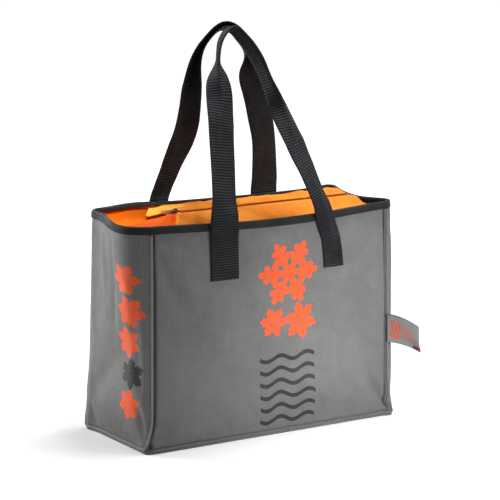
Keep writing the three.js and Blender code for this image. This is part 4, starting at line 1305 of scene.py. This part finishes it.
def strap_frames(side, count):
    """Centre, direction across, direction out, width, fold and distance run of the strap at count stations."""
    spec, sign = HANDLES[side], FACING[side]
    (foot_l, lean_l, width_l), (foot_r, lean_r, width_r) = spec["left"], spec["right"]
    patch = PATCH_HIGH - PATCH_LOW
    start = Vector((foot_l + lean_l, PATCH_HIGH, 0, 0))
    end = Vector((foot_r + lean_r, PATCH_HIGH, 0, 0))
    route = [Vector((x, RIM + rise, turn, closing)) for x, rise, turn, closing in spec["route"]]
    free = spline([start, *route, end])
    line = [Vector((foot_l, PATCH_LOW, 0, 0)), *free, Vector((foot_r, PATCH_LOW, 0, 0))]
    lengths = distances([p.xy for p in line])
    top = max(p.y for p in line)
    frames = []
    for gone in (k / count * lengths[-1] for k in range(count + 1)):
        k, t = at_distance(lengths, gone)
        x, z, turn, closing = line[k].lerp(line[k + 1], t)
        run = clamp((gone - patch) / (lengths[-1] - 2 * patch))
        gathered = lerp(width_l, width_r, smoothest(run, 0.35, 0.65))
        width = lerp(gathered, 40, smooth(z, RIM + 8, RIM + 90))
        pinch = smooth(z, PATCH_LOW + 10, RIM - 20) * (1 - smooth(z, RIM + 5, RIM + 60))
        pinch *= smooth(31.5 - gathered, -6, 0)
        fold = CLOSED * clamp(closing) + PINCHED * pinch
        turn = math.radians(turn) * smooth(z, RIM - 14, RIM + 30)
        climb = clamp((z - RIM - 8) / (top - RIM - 8))
        lift = width / 2 * (abs(math.sin(turn)) + 0.8 * math.sin(PINCHED) * pinch) * (1 - climb)
        face = strap_face(side, x, min(z, RIM + 8), lift)
        frames.append((Vector((x, lerp(face.y, sign * GRIP_APART, climb), z)), turn, width, fold, gone))
    stations = []
    for k, (centre, turn, width, fold, gone) in enumerate(frames):
        before, after = frames[max(k - 1, 0)][0], frames[min(k + 1, count)][0]
        tangent = (after - before).normalized()
        sewn = 1 - smooth(centre.z, PATCH_LOW + 8, PATCH_HIGH + 10)
        tangent = tangent.lerp(UP if tangent.z > 0 else -UP, sewn).normalized()
        nx, ny = shell_normal(side, -sign * centre.x, min(centre.z, RIM))
        free_share = smooth(centre.z, RIM, RIM + 30)
        out = Vector((nx * (1 - free_share), lerp(ny, sign, free_share), 0))
        out = (out - tangent * out.dot(tangent)).normalized()
        out = Matrix.Rotation(turn, 3, tangent) @ out
        stations.append((centre, tangent.cross(out).normalized(), out, width, fold, gone))
    return stations


def strap_section(s, width, fold):
    """Place across and depth of the webbing's middle layer at s, from -1 at one edge to 1 at the other."""
    run = abs(s) * width / 2
    turn = fold * min(run / BEND, 1)
    if fold > 0.01:
        u, depth = BEND * math.sin(turn) / fold, BEND * (1 - math.cos(turn)) / fold
    else:
        u, depth = min(run, BEND), 0.0
    past = max(run - BEND, 0)
    return math.copysign(u + past * math.cos(fold), s), depth + past * math.sin(fold)


STEPS = 300
strap_lengths = {}
for side in FACING:
    stations = strap_frames(side, STEPS)

    def place(u, v):
        centre, across, out, width, fold, _ = stations[round(v * STEPS)]
        s = 2 * u - 1
        a, depth = strap_section(math.copysign(abs(s) ** 1.25, s), width, fold)
        return (centre + across * a - out * depth) / 1000

    def measure(u, v):
        return (u - 0.5) * 0.040, stations[round(v * STEPS)][5] / 1000

    shown = [f"{side}_handle_{part}" for part in ("loop", "left_end", "right_end")]
    bm = facing_out(bent_grid(16, STEPS, place, measure))
    strap = piece(bm, side + "_strap", webbing, shown, body=None, thickness=WEBBING / 1000)
    side + "_handle"
    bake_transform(strap)
    strap_lengths[side] = round(stations[-1][5] / 1000, 3)
print("strap lengths:", strap_lengths)

# %% [markdown]
# ## Side loop
# A short hairpin of printed tape is caught in the right front seam. It droops, and its lower corner curls up, as
# a stiff little tape does after some use.

# %% Side loop of tape
LOOP_LENGTH, LOOP_WIDTH, LOOP_TOP = 44.0, 38.0, 139.0
LOOP_FOLD = 1.05
LOOP_DROOP, LOOP_CURL, LOOP_BOW = 14.0, 7.0, 1.6
LOOP_AWAY = Vector((math.cos(math.radians(-55)), math.sin(math.radians(-55)), 0))


def tape_loop_point(u, v):
    """u runs down the tape's width and v from one end in the seam round the fold to the other."""
    arc = math.pi * LOOP_FOLD
    leg = LOOP_LENGTH - LOOP_FOLD
    gone = v * (2 * leg + arc)
    if gone < leg:
        x, y = gone, -LOOP_FOLD
    elif gone < leg + arc:
        turn = (gone - leg) / LOOP_FOLD - math.pi / 2
        x, y = leg + LOOP_FOLD * math.cos(turn), LOOP_FOLD * math.sin(turn)
    else:
        x, y = 2 * leg + arc - gone, LOOP_FOLD
    down = u * LOOP_WIDTH
    z = LOOP_TOP - down
    seam = wall("front", span("front", z)[0], z, FABRIC + 2.1 + 1.4 * LOOP_AWAY.x) * 1000
    far = clamp(x / LOOP_LENGTH)
    curl = LOOP_CURL * far ** 2 * smooth(down, 20, LOOP_WIDTH)
    y += LOOP_BOW * math.sin(math.pi * far) * (1 - 2 * u) - curl
    lift = 0.35 * curl - LOOP_DROOP * far ** 2
    return Vector((
        seam.x + x * LOOP_AWAY.x + y * LOOP_AWAY.y,
        seam.y + x * LOOP_AWAY.y - y * LOOP_AWAY.x,
        z + lift,
    )) / 1000


def tape_measure(u, v):
    return 0.0895 * min(v, 1 - v), (1 - u) * 0.038


bm = facing_out(bent_grid(24, 96, tape_loop_point, tape_measure))
side_loop = piece(bm, "label_loop", label, ["side_tape_loop"], thickness=0.0006)
print("side loop:", len(side_loop.data.vertices), "points")

# %% [markdown]
# ## Stitches
# A stitch is a short length of thread that dips into the cloth at both ends. One small capsule, repeated along a
# line with gaps, reads as machine sewing from a hand's distance and costs few faces.

# %% Rows of stitches
def stitches(name, lines, material, length=2.6, gap=1.0, radius=0.28):
    """lines are lists of (point, normal) in metres; each gets one row of capsules."""
    capsule = bpy.data.meshes.new("capsule")
    bm = bmesh.new()
    bmesh.ops.create_uvsphere(bm, u_segments=6, v_segments=4, radius=1.0)
    bm.to_mesh(capsule)
    bm.clear()
    scale = Matrix.Diagonal((length / 2000, radius / 1000, radius / 1000, 1))
    for line in lines:
        lengths = distances([point * 1000 for point, _ in line])
        count = max(1, int(lengths[-1] // (length + gap)))
        for n in range(count):
            k, t = at_distance(lengths, (n + 0.5) * lengths[-1] / count)
            (a, na), (b, nb) = line[k], line[k + 1]
            centre, normal = a.lerp(b, t), na.lerp(nb, t).normalized()
            along = (b - a).normalized()
            turn = Matrix((along, normal.cross(along).normalized(), normal)).transposed().to_4x4()
            stitch = capsule.copy()
            stitch.transform(Matrix.Translation(centre) @ turn @ scale)
            bm.from_mesh(stitch)
            bpy.data.meshes.remove(stitch)
    bpy.data.meshes.remove(capsule)
    return piece(bm, name, material)


def rim_line(out, drop, count=400):
    line = []
    for k in range(count + 1):
        spot = below_rim(k / count - (0 if k < count else 1e-9), drop)
        line.append((wall(*spot, out), outward(*spot) * (1 if out > 0 else -1)))
    return line


def patch_lines(side, place):
    """The box of stitches that holds a sewn end of webbing."""
    foot, lean, width = HANDLES[side][place]
    inset, steps = 3.0, 12
    half, low, high = width / 2 - inset, PATCH_LOW + inset, PATCH_HIGH - inset

    def on(x, z):
        c = -FACING[side] * (foot + lean * (z - PATCH_LOW) / (PATCH_HIGH - PATCH_LOW) + x)
        return wall(side, c, z, STRAP_FACE + WEBBING / 2), outward(side, c, z)

    corners = [(-half, low), (half, low), (half, high), (-half, high), (-half, low)]
    return [
        [on(lerp(xa, xb, k / steps), lerp(za, zb, k / steps)) for k in range(steps + 1)]
        for (xa, za), (xb, zb) in zip(corners, corners[1:])
    ]


stitches("binding_stitches", [rim_line(2.75, -8.3), rim_line(-2.5, -5.6)], thread_black)
for side in FACING:
    rows = patch_lines(side, "left") + patch_lines(side, "right")
    stitches(side + "_patch_stitches", rows, thread_black, length=3.2, gap=0.9, radius=0.32)

# %% [markdown]
# ## Fittings
# The zip's slider, its puller and the three stops are small metal pieces. The frame's own solids are exact here,
# so they stay and only take the worn metal finish. The board in the base stays too.

# %% Metal pieces and board
FITTINGS = {
    "zip_top_stop_front": metal, "zip_top_stop_back": metal, "zip_bottom_stop": metal, "zip_puller": metal,
    "zip_slider_top": slider_metal, "zip_slider_bottom": slider_metal, "base_board": board,
}
for node, material in FITTINGS.items():
    solid = bpy.data.objects[node]
    solid.data.materials.clear()
    solid.data.materials.append(material)
    "board" if node == "base_board" else "metal"
print("fittings in metal")
